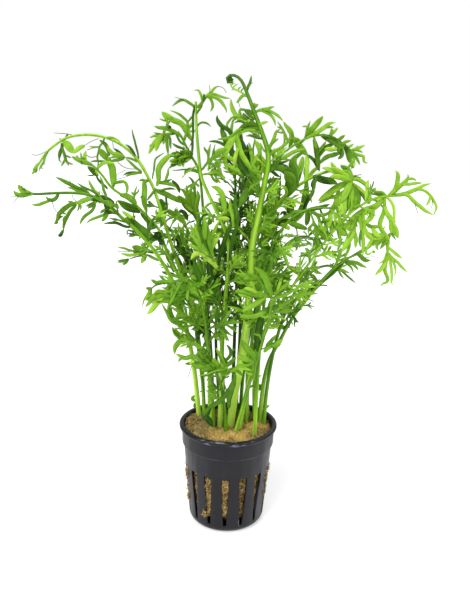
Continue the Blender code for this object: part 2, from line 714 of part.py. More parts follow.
def plan_pinna(frond, index, attempt):
    """One way to place a frond's pinna. Later attempts sway it, turn it and shorten it."""
    kind, *wish = frond.wishes[index]
    chance = random.Random(f"{frond.name} {index} {attempt}")
    sway = (attempt + 1) // 2 * (1 if attempt % 2 else -1)
    if kind == "traced":
        root_across, root_down, tip_across, tip_down, deeper, pairs = wish
        start = frond.route.nearest(root_across, root_down)
        depth = frond.route.at(start).y + (deeper + 1.1 * sway) * MM
        wander = 0.35 * attempt
        tip = on_sight_line(tip_across + chance.uniform(-wander, wander),
                            tip_down + chance.uniform(-wander, wander), depth)
        return Pinna(frond, start, tip, pairs, chance, 0.6, 0.25 * sway)
    along, side, longest, pairs = wish
    start = frond.route.length * along
    heading = frond.route.heading(start)
    _, across, normal, width, _ = frond.section(start)
    lean = chance.uniform(0.75, 1.05) + 0.03 * sway
    lift = chance.uniform(-0.25, 0.3) + 0.05 * sway
    direction = heading * math.cos(lean) + across * side * math.sin(lean) + normal * lift
    direction.z -= 0.18
    length = longest * MM * chance.uniform(0.85, 1.1) * (1 - 0.012 * attempt)
    tip = frond.route.at(start) + direction.normalized() * (length + width / 2)
    return Pinna(frond, start, tip, pairs, chance, 0.1, 0.2 * sway)


def place_pinnae(fronds):
    """Gives every frond its pinnae, each in the first attempt that stays clear of all the others."""
    stalks = [stalk_shell(frond) for frond in fronds]
    placed = []
    for order in range(max(len(frond.wishes) for frond in fronds)):
        for number, frond in enumerate(fronds):
            if order >= len(frond.wishes):
                continue
            for attempt in range(TRIES):
                pinna = plan_pinna(frond, order, attempt)
                outer = pinna_shell(pinna, CLEAR_OF_OTHERS, CLEARANCE)
                beyond = pinna_shell(pinna, CLEAR_OF_STALK, CLEARANCE)
                own = stalks[number]
                others = stalks[:number] + stalks[number + 1:] + placed
                if beyond.touches(own) or any(outer.touches(other) for other in others):
                    continue
                placed.append(pinna_shell(pinna, CLEAR_OF_OTHERS))
                frond.pinnae.append(pinna)
                break
            else:
                print(f"{frond.name}: no room for pinna {order}")


def joints_of(frond):
    """Groups pinnae that leave the stalk at about the same place: start, end and members of each joint."""
    groups = []
    for pinna in sorted(frond.pinnae, key=lambda pinna: pinna.start):
        if groups and pinna.start - groups[-1][0].start < JOINT_LENGTH and len(groups[-1]) < 4:
            groups[-1].append(pinna)
        else:
            groups.append([pinna])
    joints = []
    last_end = 0.0
    for group in groups:
        end = min(group[-1].start + JOINT_LENGTH / 2, frond.route.length)
        start = max(min(group[0].start, end) - JOINT_LENGTH / 2, last_end)
        end = max(end, start + SHORTEST_JOINT)
        joints.append((start, end, group))
        last_end = end
    return joints


def cuts_between(route, start, end):
    """The distances at which a stalk is cut so that its segments follow the route."""
    cuts = []
    last = start
    distance = start
    while distance < end - SHORTEST_SEGMENT:
        distance += 0.5 * MM
        turned = route.heading(last).angle(route.heading(distance)) > MOST_TURN
        if (turned or distance - last > LONGEST_SEGMENT) and end - distance > SHORTEST_SEGMENT:
            cuts.append(distance)
            last = distance
    return cuts


def stalk_cuts(frond):
    """Where the stalk is cut, from foot to tip: each distance, and the pinnae of the joint that ends there."""
    cuts = []
    reached = 0.0
    for start, end, group in joints_of(frond):
        cuts += [(cut, []) for cut in cuts_between(frond.route, reached, start)]
        if start - reached > 0.2 * MM:
            cuts.append((start, []))
        cuts.append((end, group))
        reached = end
    length = frond.route.length
    cuts += [(cut, []) for cut in cuts_between(frond.route, reached, length)]
    if length - reached > 0.5 * MM:
        cuts.append((length, []))
    return cuts


def make_frond(frond, collection, material):
    """The frond as one solid: the stalk is pulled from its foot, and each pinna from the stalk's wall."""
    bm = bmesh.new()
    face = first_face(bm, frond.section(0))
    last_cut = 0.0
    for cut, group in stalk_cuts(frond):
        face, walls = pull(bm, face, frond.section(cut))
        centre = frond.route.at((last_cut + cut) / 2)
        for pinna in group:
            reach = (pinna.section(0.3)[0] - centre).normalized()
            wall = max(walls, key=lambda wall: (wall.calc_center_median() - centre).normalized().dot(reach))
            walls.remove(wall)
            grow_pinna(bm, wall, pinna)
        last_cut = cut
    length = frond.route.length
    if not frond.blunt:
        point = frond.route.at(length) + frond.route.heading(length) * (0.8 if frond.coiled else 3) * MM
        draw_to_point(bm, face, point)
    close_open_end(bm)
    return add_object(frond.name, mesh_from(bm, frond.name), collection, material)


def main():
    for thing in list(bpy.data.objects):
        bpy.data.objects.remove(thing, do_unlink=True)
    plant = bpy.data.collections.new("water_sprite")
    cutters = bpy.data.collections.new("cutters")
    for collection in (plant, cutters):
        bpy.context.scene.collection.children.link(collection)

    fronds = [traced_frond(name, facts) for name, facts in TRACED_FRONDS.items()]
    fronds += [ruled_frond(name, facts) for name, facts in RULED_FRONDS.items()]
    place_pinnae(fronds)
    make_pot(plant, cutters)
    make_wool(plant, cutters, fronds)
    for index, frond in enumerate(fronds):
        shade = 0.5 + 0.5 * math.sin(index * 2.4)
        green = (0.10 + 0.08 * shade, 0.30 + 0.12 * shade, 0.02)
        make_frond(frond, plant, plain_material(f"{frond.name}_green", green, 0.45))


main()
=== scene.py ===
import math
import random

import bmesh
import bpy
from mathutils import Matrix, Vector, noise
from mathutils.kdtree import KDTree


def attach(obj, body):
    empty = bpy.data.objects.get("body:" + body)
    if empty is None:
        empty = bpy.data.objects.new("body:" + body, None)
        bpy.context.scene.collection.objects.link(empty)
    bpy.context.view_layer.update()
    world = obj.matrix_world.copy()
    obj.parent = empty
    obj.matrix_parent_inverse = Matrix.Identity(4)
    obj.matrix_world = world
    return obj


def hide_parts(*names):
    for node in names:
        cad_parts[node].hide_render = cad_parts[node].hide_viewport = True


# A water sprite in its net pot. Metres, +Z up, the pot's foot on Z = 0. The fronds are laid along the
# same lines of sight as in the CAD model, and each leaf blade grows over the solid of its own pinna.
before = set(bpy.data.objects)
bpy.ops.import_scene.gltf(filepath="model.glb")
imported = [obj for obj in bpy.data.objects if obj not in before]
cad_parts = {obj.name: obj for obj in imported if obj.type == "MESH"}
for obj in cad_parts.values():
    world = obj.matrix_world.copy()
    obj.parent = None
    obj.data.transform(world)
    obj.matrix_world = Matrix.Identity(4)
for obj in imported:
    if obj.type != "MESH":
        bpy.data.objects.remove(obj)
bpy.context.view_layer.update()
mm = 0.001
print("frame loaded,", len(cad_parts), "nodes")


# Camera: the photograph's own lines of sight, in its 470 x 596 frame

photo = {
    "height": 596,
    "middle": (235, 298),
    "focalPixels": 651,
    "eye": Vector((2, -320.7, 206)) * mm,
    "lookDown": math.radians(14.5),
    "roll": math.radians(1.43),
}
photoTurn = Matrix.Rotation(math.pi / 2 - photo["lookDown"], 3, "X") @ Matrix.Rotation(photo["roll"], 3, "Z")


def makeCamera():
    data = bpy.data.cameras.new("photoCamera")
    data.sensor_width = 36
    data.lens = photo["focalPixels"] / photo["height"] * data.sensor_width
    data.clip_start = 0.01
    camera = bpy.data.objects.new("photoCamera", data)
    camera.matrix_world = Matrix.Translation(photo["eye"]) @ photoTurn.to_4x4()
    bpy.context.scene.collection.objects.link(camera)
    bpy.context.scene.camera = camera


def sight(across, down):
    offset = Vector((across - photo["middle"][0], photo["middle"][1] - down, -photo["focalPixels"]))
    return photoTurn @ offset


def onSightLine(across, down, depth):
    # the point at this depth, along Y, that the photograph shows at this pixel
    ray = sight(across, down)
    return photo["eye"] + ray * ((depth - photo["eye"].y) / ray.y)


makeCamera()
print("camera placed")


# Shader maths: a Link is a socket that can be used in sums, and a Recipe is one material's nodes

class Link:
    def __init__(self, recipe, socket):
        self.recipe = recipe
        self.socket = socket

    def sum(self, operation, first, second=0.0):
        return self.recipe.node("ShaderNodeMath", {"operation": operation}, {0: first, 1: second})

    def __add__(self, other):
        return self.sum("ADD", self, other)

    def __radd__(self, other):
        return self.sum("ADD", other, self)

    def __sub__(self, other):
        return self.sum("SUBTRACT", self, other)

    def __rsub__(self, other):
        return self.sum("SUBTRACT", other, self)

    def __mul__(self, other):
        return self.sum("MULTIPLY", self, other)

    def __rmul__(self, other):
        return self.sum("MULTIPLY", other, self)

    def __truediv__(self, other):
        return self.sum("DIVIDE", self, other)

    def __pow__(self, other):
        return self.sum("POWER", self, other)

    def __abs__(self):
        return self.sum("ABSOLUTE", self)

    def rise(self, low, high):
        # 0 below low, 1 above high, smooth between
        settings = {"interpolation_type": "SMOOTHSTEP"}
        return self.recipe.node("ShaderNodeMapRange", settings, {0: self, 1: low, 2: high})


class Recipe:
    def __init__(self, name):
        self.material = bpy.data.materials.new(name)
        self.material.use_nodes = True
        self.tree = self.material.node_tree
        self.shader = self.tree.nodes["Principled BSDF"]
        self.place = self.node("ShaderNodeTexCoord", output="Object")

    def node(self, kind, settings=None, inputs=None, output=0):
        made = self.tree.nodes.new(kind)
        for key, value in (settings or {}).items():
            if key == "stops":
                self.setStops(made.color_ramp, value)
            else:
                setattr(made, key, value)
        self.fill(made, inputs or {})
        return Link(self, made.outputs[output])

    def setStops(self, ramp, stops):
        while len(ramp.elements) < len(stops):
            ramp.elements.new(0.5)
        for element, (position, colour) in zip(ramp.elements, stops):
            element.position = position
            element.color = (*colour, 1)

    def fill(self, node, inputs):
        for key, value in inputs.items():
            if isinstance(value, Link):
                self.tree.links.new(value.socket, node.inputs[key])
            else:
                node.inputs[key].default_value = value

    def attribute(self, name):
        return self.node("ShaderNodeAttribute", {"attribute_name": name}, output="Fac")

    def along(self, axis):
        # the object's own X, Y or Z
        return self.node("ShaderNodeSeparateXYZ", None, {"Vector": self.place}, output=axis)

    def grain(self, scale, detail=3.0, stretch=(1, 1, 1)):
        # noise between 0 and 1 on the object's own place
        place = self.node("ShaderNodeMapping", None, {"Vector": self.place, "Scale": stretch})
        return self.node("ShaderNodeTexNoise", None, {"Vector": place, "Scale": scale, "Detail": detail})

    def ramp(self, factor, stops):
        return self.node("ShaderNodeValToRGB", {"stops": stops}, {"Fac": factor})

    def mix(self, factor, first, second):
        def colour(value):
            return value if isinstance(value, Link) else (*value, 1)

        inputs = {0: factor, 6: colour(first), 7: colour(second)}
        return self.node("ShaderNodeMix", {"data_type": "RGBA"}, inputs, output=2)

    def bump(self, height, strength, distance):
        inputs = {"Height": height, "Strength": strength, "Distance": distance}
        return self.node("ShaderNodeBump", None, inputs, output="Normal")

    def finish(self, inputs):
        self.fill(self.shader, inputs)
        return self.material


# Objects and Geometry Nodes trees

def addObject(name, data):
    thing = bpy.data.objects.new(name, data)
    bpy.context.scene.collection.objects.link(thing)
    return thing


def meshOf(name, bm):
    mesh = bpy.data.meshes.new(name)
    bm.to_mesh(mesh)
    bm.free()
    return mesh


def turnedLine(name, profile, closed, sides):
    # an outline of (radius, height) points, to be turned about the Z axis when it is evaluated
    bm = bmesh.new()
    points = [bm.verts.new((radius, 0, height)) for radius, height in profile]
    following = points[1:] + points[:1] if closed else points[1:]
    for first, second in zip(points, following):
        bm.edges.new((first, second))
    axis = [edge for edge in bm.edges if all(abs(vertex.co.x) < 0.001 * mm for vertex in edge.verts)]
    bmesh.ops.delete(bm, geom=axis, context="EDGES")
    thing = addObject(name, meshOf(name, bm))
    screw = thing.modifiers.new("turn", "SCREW")
    screw.steps = screw.render_steps = sides
    screw.use_merge_vertices = True
    screw.merge_threshold = 0.01 * mm
    return thing


def evaluated(thing):
    # the object's mesh with its modifiers applied; the object itself goes
    bpy.context.view_layer.update()
    mesh = bpy.data.meshes.new_from_object(thing.evaluated_get(bpy.context.evaluated_depsgraph_get()))
    bpy.data.objects.remove(thing, do_unlink=True)
    return mesh


class Tree:
    # a Geometry Nodes tree with named inputs
    def __init__(self, name, inputs):
        self.tree = bpy.data.node_groups.new(name, "GeometryNodeTree")
        interface = self.tree.interface
        interface.new_socket("Geometry", in_out="INPUT", socket_type="NodeSocketGeometry")
        interface.new_socket("Geometry", in_out="OUTPUT", socket_type="NodeSocketGeometry")
        for title, kind in inputs.items():
            interface.new_socket(title, in_out="INPUT", socket_type=kind)
        self.start = self.tree.nodes.new("NodeGroupInput").outputs
        self.end = self.tree.nodes.new("NodeGroupOutput").inputs

    def node(self, kind, settings=None, inputs=None, output=0):
        made = self.tree.nodes.new(kind)
        for key, value in (settings or {}).items():
            setattr(made, key, value)
        for key, value in (inputs or {}).items():
            if isinstance(value, bpy.types.NodeSocket):
                self.tree.links.new(value, made.inputs[key])
            else:
                made.inputs[key].default_value = value
        return made.outputs[output]

    def named(self, name):
        return self.node("GeometryNodeInputNamedAttribute", {"data_type": "FLOAT"}, {"Name": name})

    def maths(self, operation, first, second=0.0):
        return self.node("ShaderNodeMath", {"operation": operation}, {0: first, 1: second})

    def finish(self, geometry, material):
        geometry = self.node("GeometryNodeRealizeInstances", None, {"Geometry": geometry})
        geometry = self.node("GeometryNodeSetShadeSmooth", None, {"Geometry": geometry})
        geometry = self.node("GeometryNodeSetMaterial", None, {"Geometry": geometry, "Material": material})
        self.tree.links.new(geometry, self.end["Geometry"])

    def applyTo(self, thing, values):
        modifier = thing.modifiers.new(self.tree.name, "NODES")
        modifier.node_group = self.tree
        for item in self.tree.interface.items_tree:
            if item.in_out == "INPUT" and item.name in values:
                modifier[item.identifier] = values[item.name]
        return evaluated(thing)


# The pot

pot = {
    "height": 55 * mm,
    "rimRadius": 26 * mm,
    "rimDrop": 2.3 * mm,
    "beadRadius": 1.15 * mm,
    "collarRadius": 24.5 * mm,
    "collarFoot": 44.3 * mm,
    "bodyTopRadius": 23.5 * mm,
    "bodyFootRadius": 20.3 * mm,
    "footRounding": 4 * mm,
    "wall": 1.2 * mm,
    "sides": 150,
    "slots": 15,
    "slotTurn": math.radians(-91.5),
    "slotTop": 32.8 * mm,
    "slotFoot": 4.6 * mm,
    "slotTopWidth": 4.5 * mm,
    "slotFootWidth": 1.6 * mm,
    "slotCornerRounding": 0.5 * mm,
    "edgeRounding": 0.18 * mm,
}


def innerRadius(height):
    up = (height - pot["footRounding"]) / (pot["collarFoot"] - pot["footRounding"])
    return pot["bodyFootRadius"] + (pot["bodyTopRadius"] - pot["bodyFootRadius"]) * up - pot["wall"]


def arc(centre, radius, first, last, steps):
    # points on an arc of the pot's half section, from one angle in degrees to another
    points = []
    for step in range(steps + 1):
        angle = math.radians(first + (last - first) * step / steps)
        points.append((centre[0] + radius * math.cos(angle), centre[1] + radius * math.sin(angle)))
    return points


def potProfile():
    # down the outer side from the lip, across the foot and up the inner side
    lip = pot["height"]
    rim = pot["rimRadius"]
    collar = pot["collarRadius"]
    step = pot["collarFoot"]
    foot = pot["footRounding"]
    centre = pot["bodyFootRadius"] - foot
    bead = pot["beadRadius"]
    points = arc((rim - bead, lip - bead), bead, 100, -40, 9)
    points += arc((collar + 1 * mm, lip - pot["rimDrop"] - 0.75 * mm), 0.9 * mm, 90, 180, 4)
    points += [(collar - 0.12 * mm, step + 0.5 * mm), (collar - 0.22 * mm, step + 0.12 * mm)]
    points += [(collar - 0.45 * mm, step - 0.08 * mm), (pot["bodyTopRadius"], step - 0.4 * mm)]
    points += arc((centre, foot), foot, 0, -90, 10)
    points += [(0, 0), (0, pot["wall"])]
    points += arc((centre, foot), foot - pot["wall"], -90, 0, 6)
    points += [(innerRadius(step), step), (collar - pot["wall"], lip - 2.2 * mm)]
    points += arc((collar - 0.1 * mm, lip - 1.1 * mm), 1.1 * mm, 170, 105, 4)
    return points


def slotCutter():
    bm = bmesh.new()
    outer, inner = pot["rimRadius"], pot["bodyFootRadius"] - 6 * mm
    for index in range(pot["slots"]):
        wedge = bmesh.ops.create_cube(bm, size=1)["verts"]
        turn = Matrix.Rotation(pot["slotTurn"] + math.tau * index / pot["slots"], 4, "Z")
        for vertex in wedge:
            top = vertex.co.z > 0
            width = pot["slotTopWidth"] if top else pot["slotFootWidth"]
            height = pot["slotTop"] if top else pot["slotFoot"]
            vertex.co = turn @ Vector((outer if vertex.co.x > 0 else inner, vertex.co.y * width, height))
        long = {edge for vertex in wedge for edge in vertex.link_edges if abs(edge.verts[0].co.z
                - edge.verts[1].co.z) < 0.1 * mm and edge.calc_length() > outer - inner - 0.1 * mm}
        bmesh.ops.bevel(bm, geom=list(long), offset=pot["slotCornerRounding"], segments=3,
                        affect="EDGES", profile=0.5)
    bmesh.ops.recalc_face_normals(bm, faces=bm.faces)
    return addObject("slotCutter", meshOf("slotCutter", bm))


def potMaterial():
    look = Recipe("potPlastic")
    height = look.along("Z")
    depth = look.along("Y")
    cloud = look.grain(90, 4)
    streak = look.grain(260, 3, (1, 1, 0.12))
    speck = look.grain(1500, 2).rise(0.74, 0.8)
    across = look.along("X")
    front = 1 - depth.rise(-6 * mm, -3 * mm)
    # between two slots on the right the wall is streaked grey, and thin scratches run under the next slot
    # that grey patch is partly wear and partly a painted reflection of light
    sheenAndWear = across.rise(14.2 * mm, 16 * mm) * (1 - across.rise(17.2 * mm, 18.6 * mm)) * front
    sheenAndWear = sheenAndWear * height.rise(4 * mm, 10 * mm) * (1 - height.rise(20 * mm, 27 * mm))
    scratched = across.rise(6 * mm, 6.8 * mm) * (1 - across.rise(8.4 * mm, 9.2 * mm)) * front
    scratched = scratched * (1 - height.rise(6 * mm, 9 * mm))
    scratched = scratched * look.grain(900, 3, (1, 1, 0.06)).rise(0.55, 0.66)
    # a pale line runs along the collar's lower edge, and pale streaks along the front of the rim
    line = (1 - abs(height - pot["collarFoot"]).rise(0.12 * mm, 0.42 * mm)) * look.grain(140).rise(0.3, 0.75)
    rim = height.rise(pot["height"] - 3.2 * mm, pot["height"] - 2 * mm) * (1 - depth.rise(-25 * mm, -20 * mm))
    # the rim's streaks are partly worn marks and partly a painted highlight on its front
    rimWearAndHighlight = rim * look.grain(420, 5, (0.35, 1, 1.6)).rise(0.54, 0.66)
    colour = look.mix(cloud.rise(0.3, 0.7), (0.0035, 0.0035, 0.006), (0.0065, 0.0065, 0.0105))
    colour = look.mix(line * 0.55, colour, (0.13, 0.13, 0.17))
    colour = look.mix(rimWearAndHighlight * 0.7, colour, (0.3, 0.34, 0.46))
    colour = look.mix(speck * 0.35, colour, (0.12, 0.11, 0.1))
    # painted reflection with some wear, between two slots on the right
    colour = look.mix(sheenAndWear * streak.rise(0.3, 0.6) * 0.6, colour, (0.05, 0.055, 0.08))
    colour = look.mix(scratched * 0.6, colour, (0.22, 0.22, 0.24))
    roughness = 0.36 + streak.rise(0.35, 0.7) * 0.14 + rimWearAndHighlight * 0.2
    relief = look.grain(700, 4) * 0.4 + streak * 0.6
    return look.finish({
        "Base Color": colour, "Roughness": roughness, "Specular IOR Level": 0.3,
        "Normal": look.bump(relief, 0.25, 0.00012),
    })


def makePot():
    thing = turnedLine("netPot", potProfile(), True, pot["sides"])
    cutter = slotCutter()
    cut = thing.modifiers.new("slots", "BOOLEAN")
    cut.operation = "DIFFERENCE"
    cut.solver = "EXACT"
    cut.object = cutter
    bevel = thing.modifiers.new("rounding", "BEVEL")
    bevel.width = pot["edgeRounding"]
    bevel.segments = 2
    bevel.limit_method = "ANGLE"
    bevel.angle_limit = math.radians(50)
    mesh = evaluated(thing)
    bpy.data.objects.remove(cutter, do_unlink=True)
    mesh.materials.clear()
    mesh.materials.append(potMaterial())
    mesh.shade_smooth()
    mesh.set_sharp_from_angle(angle=math.radians(38))
    piece = addObject("net_pot", mesh)
    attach(piece, "root")
    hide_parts("pot")
    print("net pot,", len(mesh.polygons), "faces")


makePot()


# The rock wool

wool = {
    "edge": 52 * mm,
    "setBack": 1.0 * mm,
    "rounding": 2 * mm,
    "sideLumps": 0.7 * mm,
    "topLumps": 1.3 * mm,
    "crumbs": 0.8 * mm,
    "roughScale": 420,
    "crumbScale": 950,
    "lumpScale": 150,
    "sides": 240,
    "topFibres": 7200,
    "sideFibres": 4700,
    "fibreLength": 2.8 * mm,
    "fibreThickness": 0.09 * mm,
    "mounds": (
        (2, -16, 9, 1.8), (14, -4, 7, 2.4), (-16, -8, 9, 2.2), (-19, 3, 7, 2.4), (-12, 14, 7, 1.2),
        (17, 11, 6, -1.4), (-7, 4, 6, -3.6), (6, 6, 7, -1.6),
    ),
    "bulges": ((172.5, 0.6), (196.5, 0.3), (4.5, 0.4), (-19.5, 0.2), (-115.5, 0.2), (-91.5, 0.2)),
    "tuftMark": (204.3, 513.3),
    "tuftHeight": 9.5 * mm,
    "tuftRadius": 1.15 * mm,
    "goldenPlaces": ((-4, -12, 8), (5, -14, 9), (14, -2, 8)),
    # the hollows under the fronds, darkened as painted shade
    "shadedHollows": ((-9, 8, 6), (-4, 4, 5), (21, 8, 4), (3, 12, 6)),
}


def woolHeight(x, y):
    height = wool["edge"]
    for across, deep, spread, rise in wool["mounds"]:
        away = math.hypot(x / mm - across, y / mm - deep) / spread
        height += rise * mm * math.exp(-away * away)
    return height


def near(look, places):
    # near 1 at the places on the wool's top, 0 a little over a spread away from them
    across = look.along("X")
    deep = look.along("Y")
    total = 0.0
    for x, y, spread in places:
        away = ((across - x * mm) ** 2 + (deep - y * mm) ** 2) / (spread * mm) ** 2
        total = (1 - away.rise(0.1, 1.3)) + total
    return total


def woolMaterial(name, lift):
    look = Recipe(name)
    height = look.along("Z")
    patch = look.grain(110, 4)
    fine = look.grain(900, 5).rise(0.36, 0.62)
    top = height.rise(40 * mm, 48 * mm)
    colour = look.ramp(patch * 0.6 + fine * 0.4, [
        (0.3, (0.07, 0.042, 0.016)), (0.45, (0.22, 0.14, 0.055)), (0.6, (0.42, 0.27, 0.09)),
        (0.75, (0.58, 0.4, 0.15)),
    ])
    olive = look.mix(fine, (0.17, 0.125, 0.04), (0.56, 0.45, 0.2))
    colour = look.mix(top * patch.rise(0.4, 0.62) * 0.8, colour, olive)
    golden = look.mix(fine, (0.86, 0.5, 0.085), (1.0, 0.78, 0.27))
    colour = look.mix(near(look, wool["goldenPlaces"]) * top * patch.rise(0.3, 0.5), colour, golden)
    # painted shade: the wool is darkened in the hollows where the fronds come up
    dark = look.mix(fine, (0.03, 0.018, 0.01), (0.13, 0.09, 0.045))
    colour = look.mix(near(look, wool["shadedHollows"]) * top * 0.8, colour, dark)
    if lift:
        tint = look.attribute("tint")
        colour = look.mix(tint * lift, colour, (0.95, 0.72, 0.29))
        colour = look.mix((1 - tint).rise(0.7, 1.0) * 0.5, colour, (0.08, 0.05, 0.02))
    return look.finish({
        "Base Color": colour, "Roughness": 0.95, "Specular IOR Level": 0.15,
        "Normal": look.bump(fine, 0.9, 0.0006),
    })


def bulge(x, y, z):
    # how far the wool swells out between the bars at a point of its side
    if not pot["slotFoot"] + 4 * mm < z < pot["slotTop"]:
        return 0.0
    up = (z - pot["slotFoot"]) / (pot["slotTop"] - pot["slotFoot"])
    half = (pot["slotFootWidth"] + (pot["slotTopWidth"] - pot["slotFootWidth"]) * up) / 2
    swell = 0.0
    for turn, proud in wool["bulges"]:
        away = (math.atan2(y, x) - math.radians(turn) + math.pi) % math.tau - math.pi
        share = min(1, abs(away) * math.hypot(x, y) / half)
        ends = min(1, (pot["slotTop"] - z) / (2 * mm), (z - pot["slotFoot"] - 4 * mm) / (3 * mm))
        swell += (wool["setBack"] + pot["wall"] + proud * mm) * (1 - share ** 4) * ends
    return swell


def addTuft(bm):
    # a crumb of wool that hangs out of a slot over the bar beside it; a few rounds find the depth at which
    # its mark's line of sight meets the bar
    radius = innerRadius(wool["tuftHeight"]) + pot["wall"] + wool["tuftRadius"] * 0.3
    depth = -radius
    for _ in range(8):
        place = onSightLine(*wool["tuftMark"], depth)
        depth = -math.sqrt(radius ** 2 - place.x ** 2)
    flat = Matrix.Translation(place) @ Matrix.Diagonal((1.5, 0.6, 1, 1))
    made = bmesh.ops.create_icosphere(bm, subdivisions=4, radius=wool["tuftRadius"], matrix=flat)["verts"]
    for vertex in made:
        vertex.co += (vertex.co - place) * 0.6 * noise.fractal(vertex.co * 700, 0.8, 2.1, 4)


def woolMesh():
    # a turned block with a dense skin, then lumped by noise
    foot = pot["wall"] + 0.3 * mm
    low = innerRadius(pot["footRounding"]) - wool["setBack"]
    high = innerRadius(wool["edge"] - 3 * mm) - 0.3 * mm
    profile = [(radius * mm / 2, wool["edge"]) for radius in range(2, 38)]
    rounding = wool["rounding"]
    profile += arc((high - rounding, wool["edge"] - rounding), rounding, 80, 0, 5)
    for step in range(1, 60):
        height = wool["edge"] - rounding - (wool["edge"] - 12 * mm) * step / 60
        profile.append((low + (high - low) * (height - 8 * mm) / (wool["edge"] - 10 * mm), height))
    profile += [(low - 1.5 * mm, 7 * mm), (low - 4 * mm, 4.5 * mm), (low - 6 * mm, foot), (6 * mm, foot)]
    mesh = evaluated(turnedLine("wool", profile, False, wool["sides"]))
    bm = bmesh.new()
    bm.from_mesh(mesh)
    bmesh.ops.holes_fill(bm, edges=[edge for edge in bm.edges if edge.is_boundary])
    bmesh.ops.recalc_face_normals(bm, faces=bm.faces)
    for vertex in bm.verts:
        x, y, z = vertex.co
        radius = math.hypot(x, y)
        out = Vector((x, y, 0)).normalized()
        rough = noise.fractal(vertex.co * wool["roughScale"], 0.8, 2.1, 5)
        crumb = noise.fractal(vertex.co * wool["crumbScale"], 0.7, 2.1, 3)
        lump = noise.fractal(vertex.co * wool["lumpScale"] + Vector((7, 3, 1)), 1.0, 2.0, 3)
        top = min(1, max(0, (z - wool["edge"] + 4 * mm) / (3.5 * mm)))
        rise = woolHeight(x, y) - wool["edge"] + wool["topLumps"] * (0.55 * rough + 0.6 * lump)
        vertex.co.z += (rise + wool["crumbs"] * crumb) * top
        side = (1 - top) * min(1, max(0, (z - 5 * mm) / (4 * mm)))
        vertex.co += out * side * wool["sideLumps"] * min(1, 0.6 * rough + 0.8 * lump)
        vertex.co += out * bulge(x, y, z) * (0.9 + 0.25 * rough)
    addTuft(bm)
    bm.to_mesh(mesh)
    bm.free()
    mesh.materials.clear()
    mesh.shade_smooth()
    return mesh


def fibreTree():
    tree = Tree("woolFibres", {
        "Density": "NodeSocketFloat", "Length": "NodeSocketFloat", "Thickness": "NodeSocketFloat",
        "Lift": "NodeSocketFloat", "Seed": "NodeSocketInt", "Material": "NodeSocketMaterial",
    })
    start = tree.start
    bent = tree.node("GeometryNodeCurveQuadraticBezier", None, {
        "Resolution": 3, "Start": (-0.5, 0, -0.06), "Middle": (0.1, 0.22, 0.16), "End": (0.5, -0.05, 0.02),
    })
    size = tree.node("GeometryNodeTransform", None, {
        "Geometry": bent,
        "Scale": tree.node("ShaderNodeCombineXYZ", None,
                           {"X": start["Length"], "Y": start["Length"], "Z": start["Length"]}),
    })
    ring = tree.node("GeometryNodeCurvePrimitiveCircle", None, {
        "Resolution": 3, "Radius": start["Thickness"],
    })
    fibre = tree.node("GeometryNodeCurveToMesh", None, {
        "Curve": size, "Profile Curve": ring, "Fill Caps": True,
    })
    scatter = tree.tree.nodes.new("GeometryNodeDistributePointsOnFaces")
    tree.tree.links.new(start["Geometry"], scatter.inputs["Mesh"])
    density = tree.maths("MULTIPLY", start["Density"], tree.named("bristle"))
    tree.tree.links.new(density, scatter.inputs["Density"])
    tree.tree.links.new(start["Seed"], scatter.inputs["Seed"])
    lean = tree.maths("MULTIPLY", start["Lift"], -1.0)
    tilt = tree.node("FunctionNodeRandomValue", {"data_type": "FLOAT_VECTOR"}, {
        "Seed": start["Seed"],
        0: tree.node("ShaderNodeCombineXYZ", None, {"X": lean, "Y": lean}),
        1: tree.node("ShaderNodeCombineXYZ", None, {"X": start["Lift"], "Y": start["Lift"], "Z": math.tau}),
    })
    turned = tree.node("FunctionNodeRotateRotation", {"rotation_space": "LOCAL"}, {
        "Rotation": scatter.outputs["Rotation"],
        "Rotate By": tree.node("FunctionNodeEulerToRotation", None, {"Euler": tilt}),
    })
    settings = {"data_type": "FLOAT"}
    grown = tree.node("FunctionNodeRandomValue", settings, {2: 0.5, 3: 1.5, "Seed": 4}, output=1)
    fibres = tree.node("GeometryNodeInstanceOnPoints", None, {
        "Points": scatter.outputs["Points"], "Instance": fibre, "Rotation": turned, "Scale": grown,
    })
    shade = tree.node("FunctionNodeRandomValue", settings, {2: 0.0, 3: 1.0, "Seed": 9}, output=1)
    fibres = tree.node("GeometryNodeStoreNamedAttribute", {"domain": "INSTANCE"}, {
        "Geometry": fibres, "Name": "tint", "Value": shade,
    })
    tree.finish(fibres, start["Material"])
    return tree


def nearSlot(place):
    # whether a point of the wool's side lies behind a slot
    if not pot["slotFoot"] < place.z < pot["slotTop"] + 1 * mm:
        return False
    turn = (math.atan2(place.y, place.x) - pot["slotTurn"]) % (math.tau / pot["slots"])
    turn = min(turn, math.tau / pot["slots"] - turn)
    return turn * math.hypot(place.x, place.y) < pot["slotTopWidth"] * 0.75


def bristleMesh(block, wanted):
    # a copy of the block whose attribute says where fibres grow, and the area where they do
    mesh = block.copy()
    grow = mesh.attributes.new("bristle", "FLOAT", "POINT")
    for index, vertex in enumerate(mesh.vertices):
        grow.data[index].value = 1.0 if wanted(vertex.co) else 0.0
    area = sum(face.area for face in mesh.polygons if wanted(face.center))
    return mesh, area


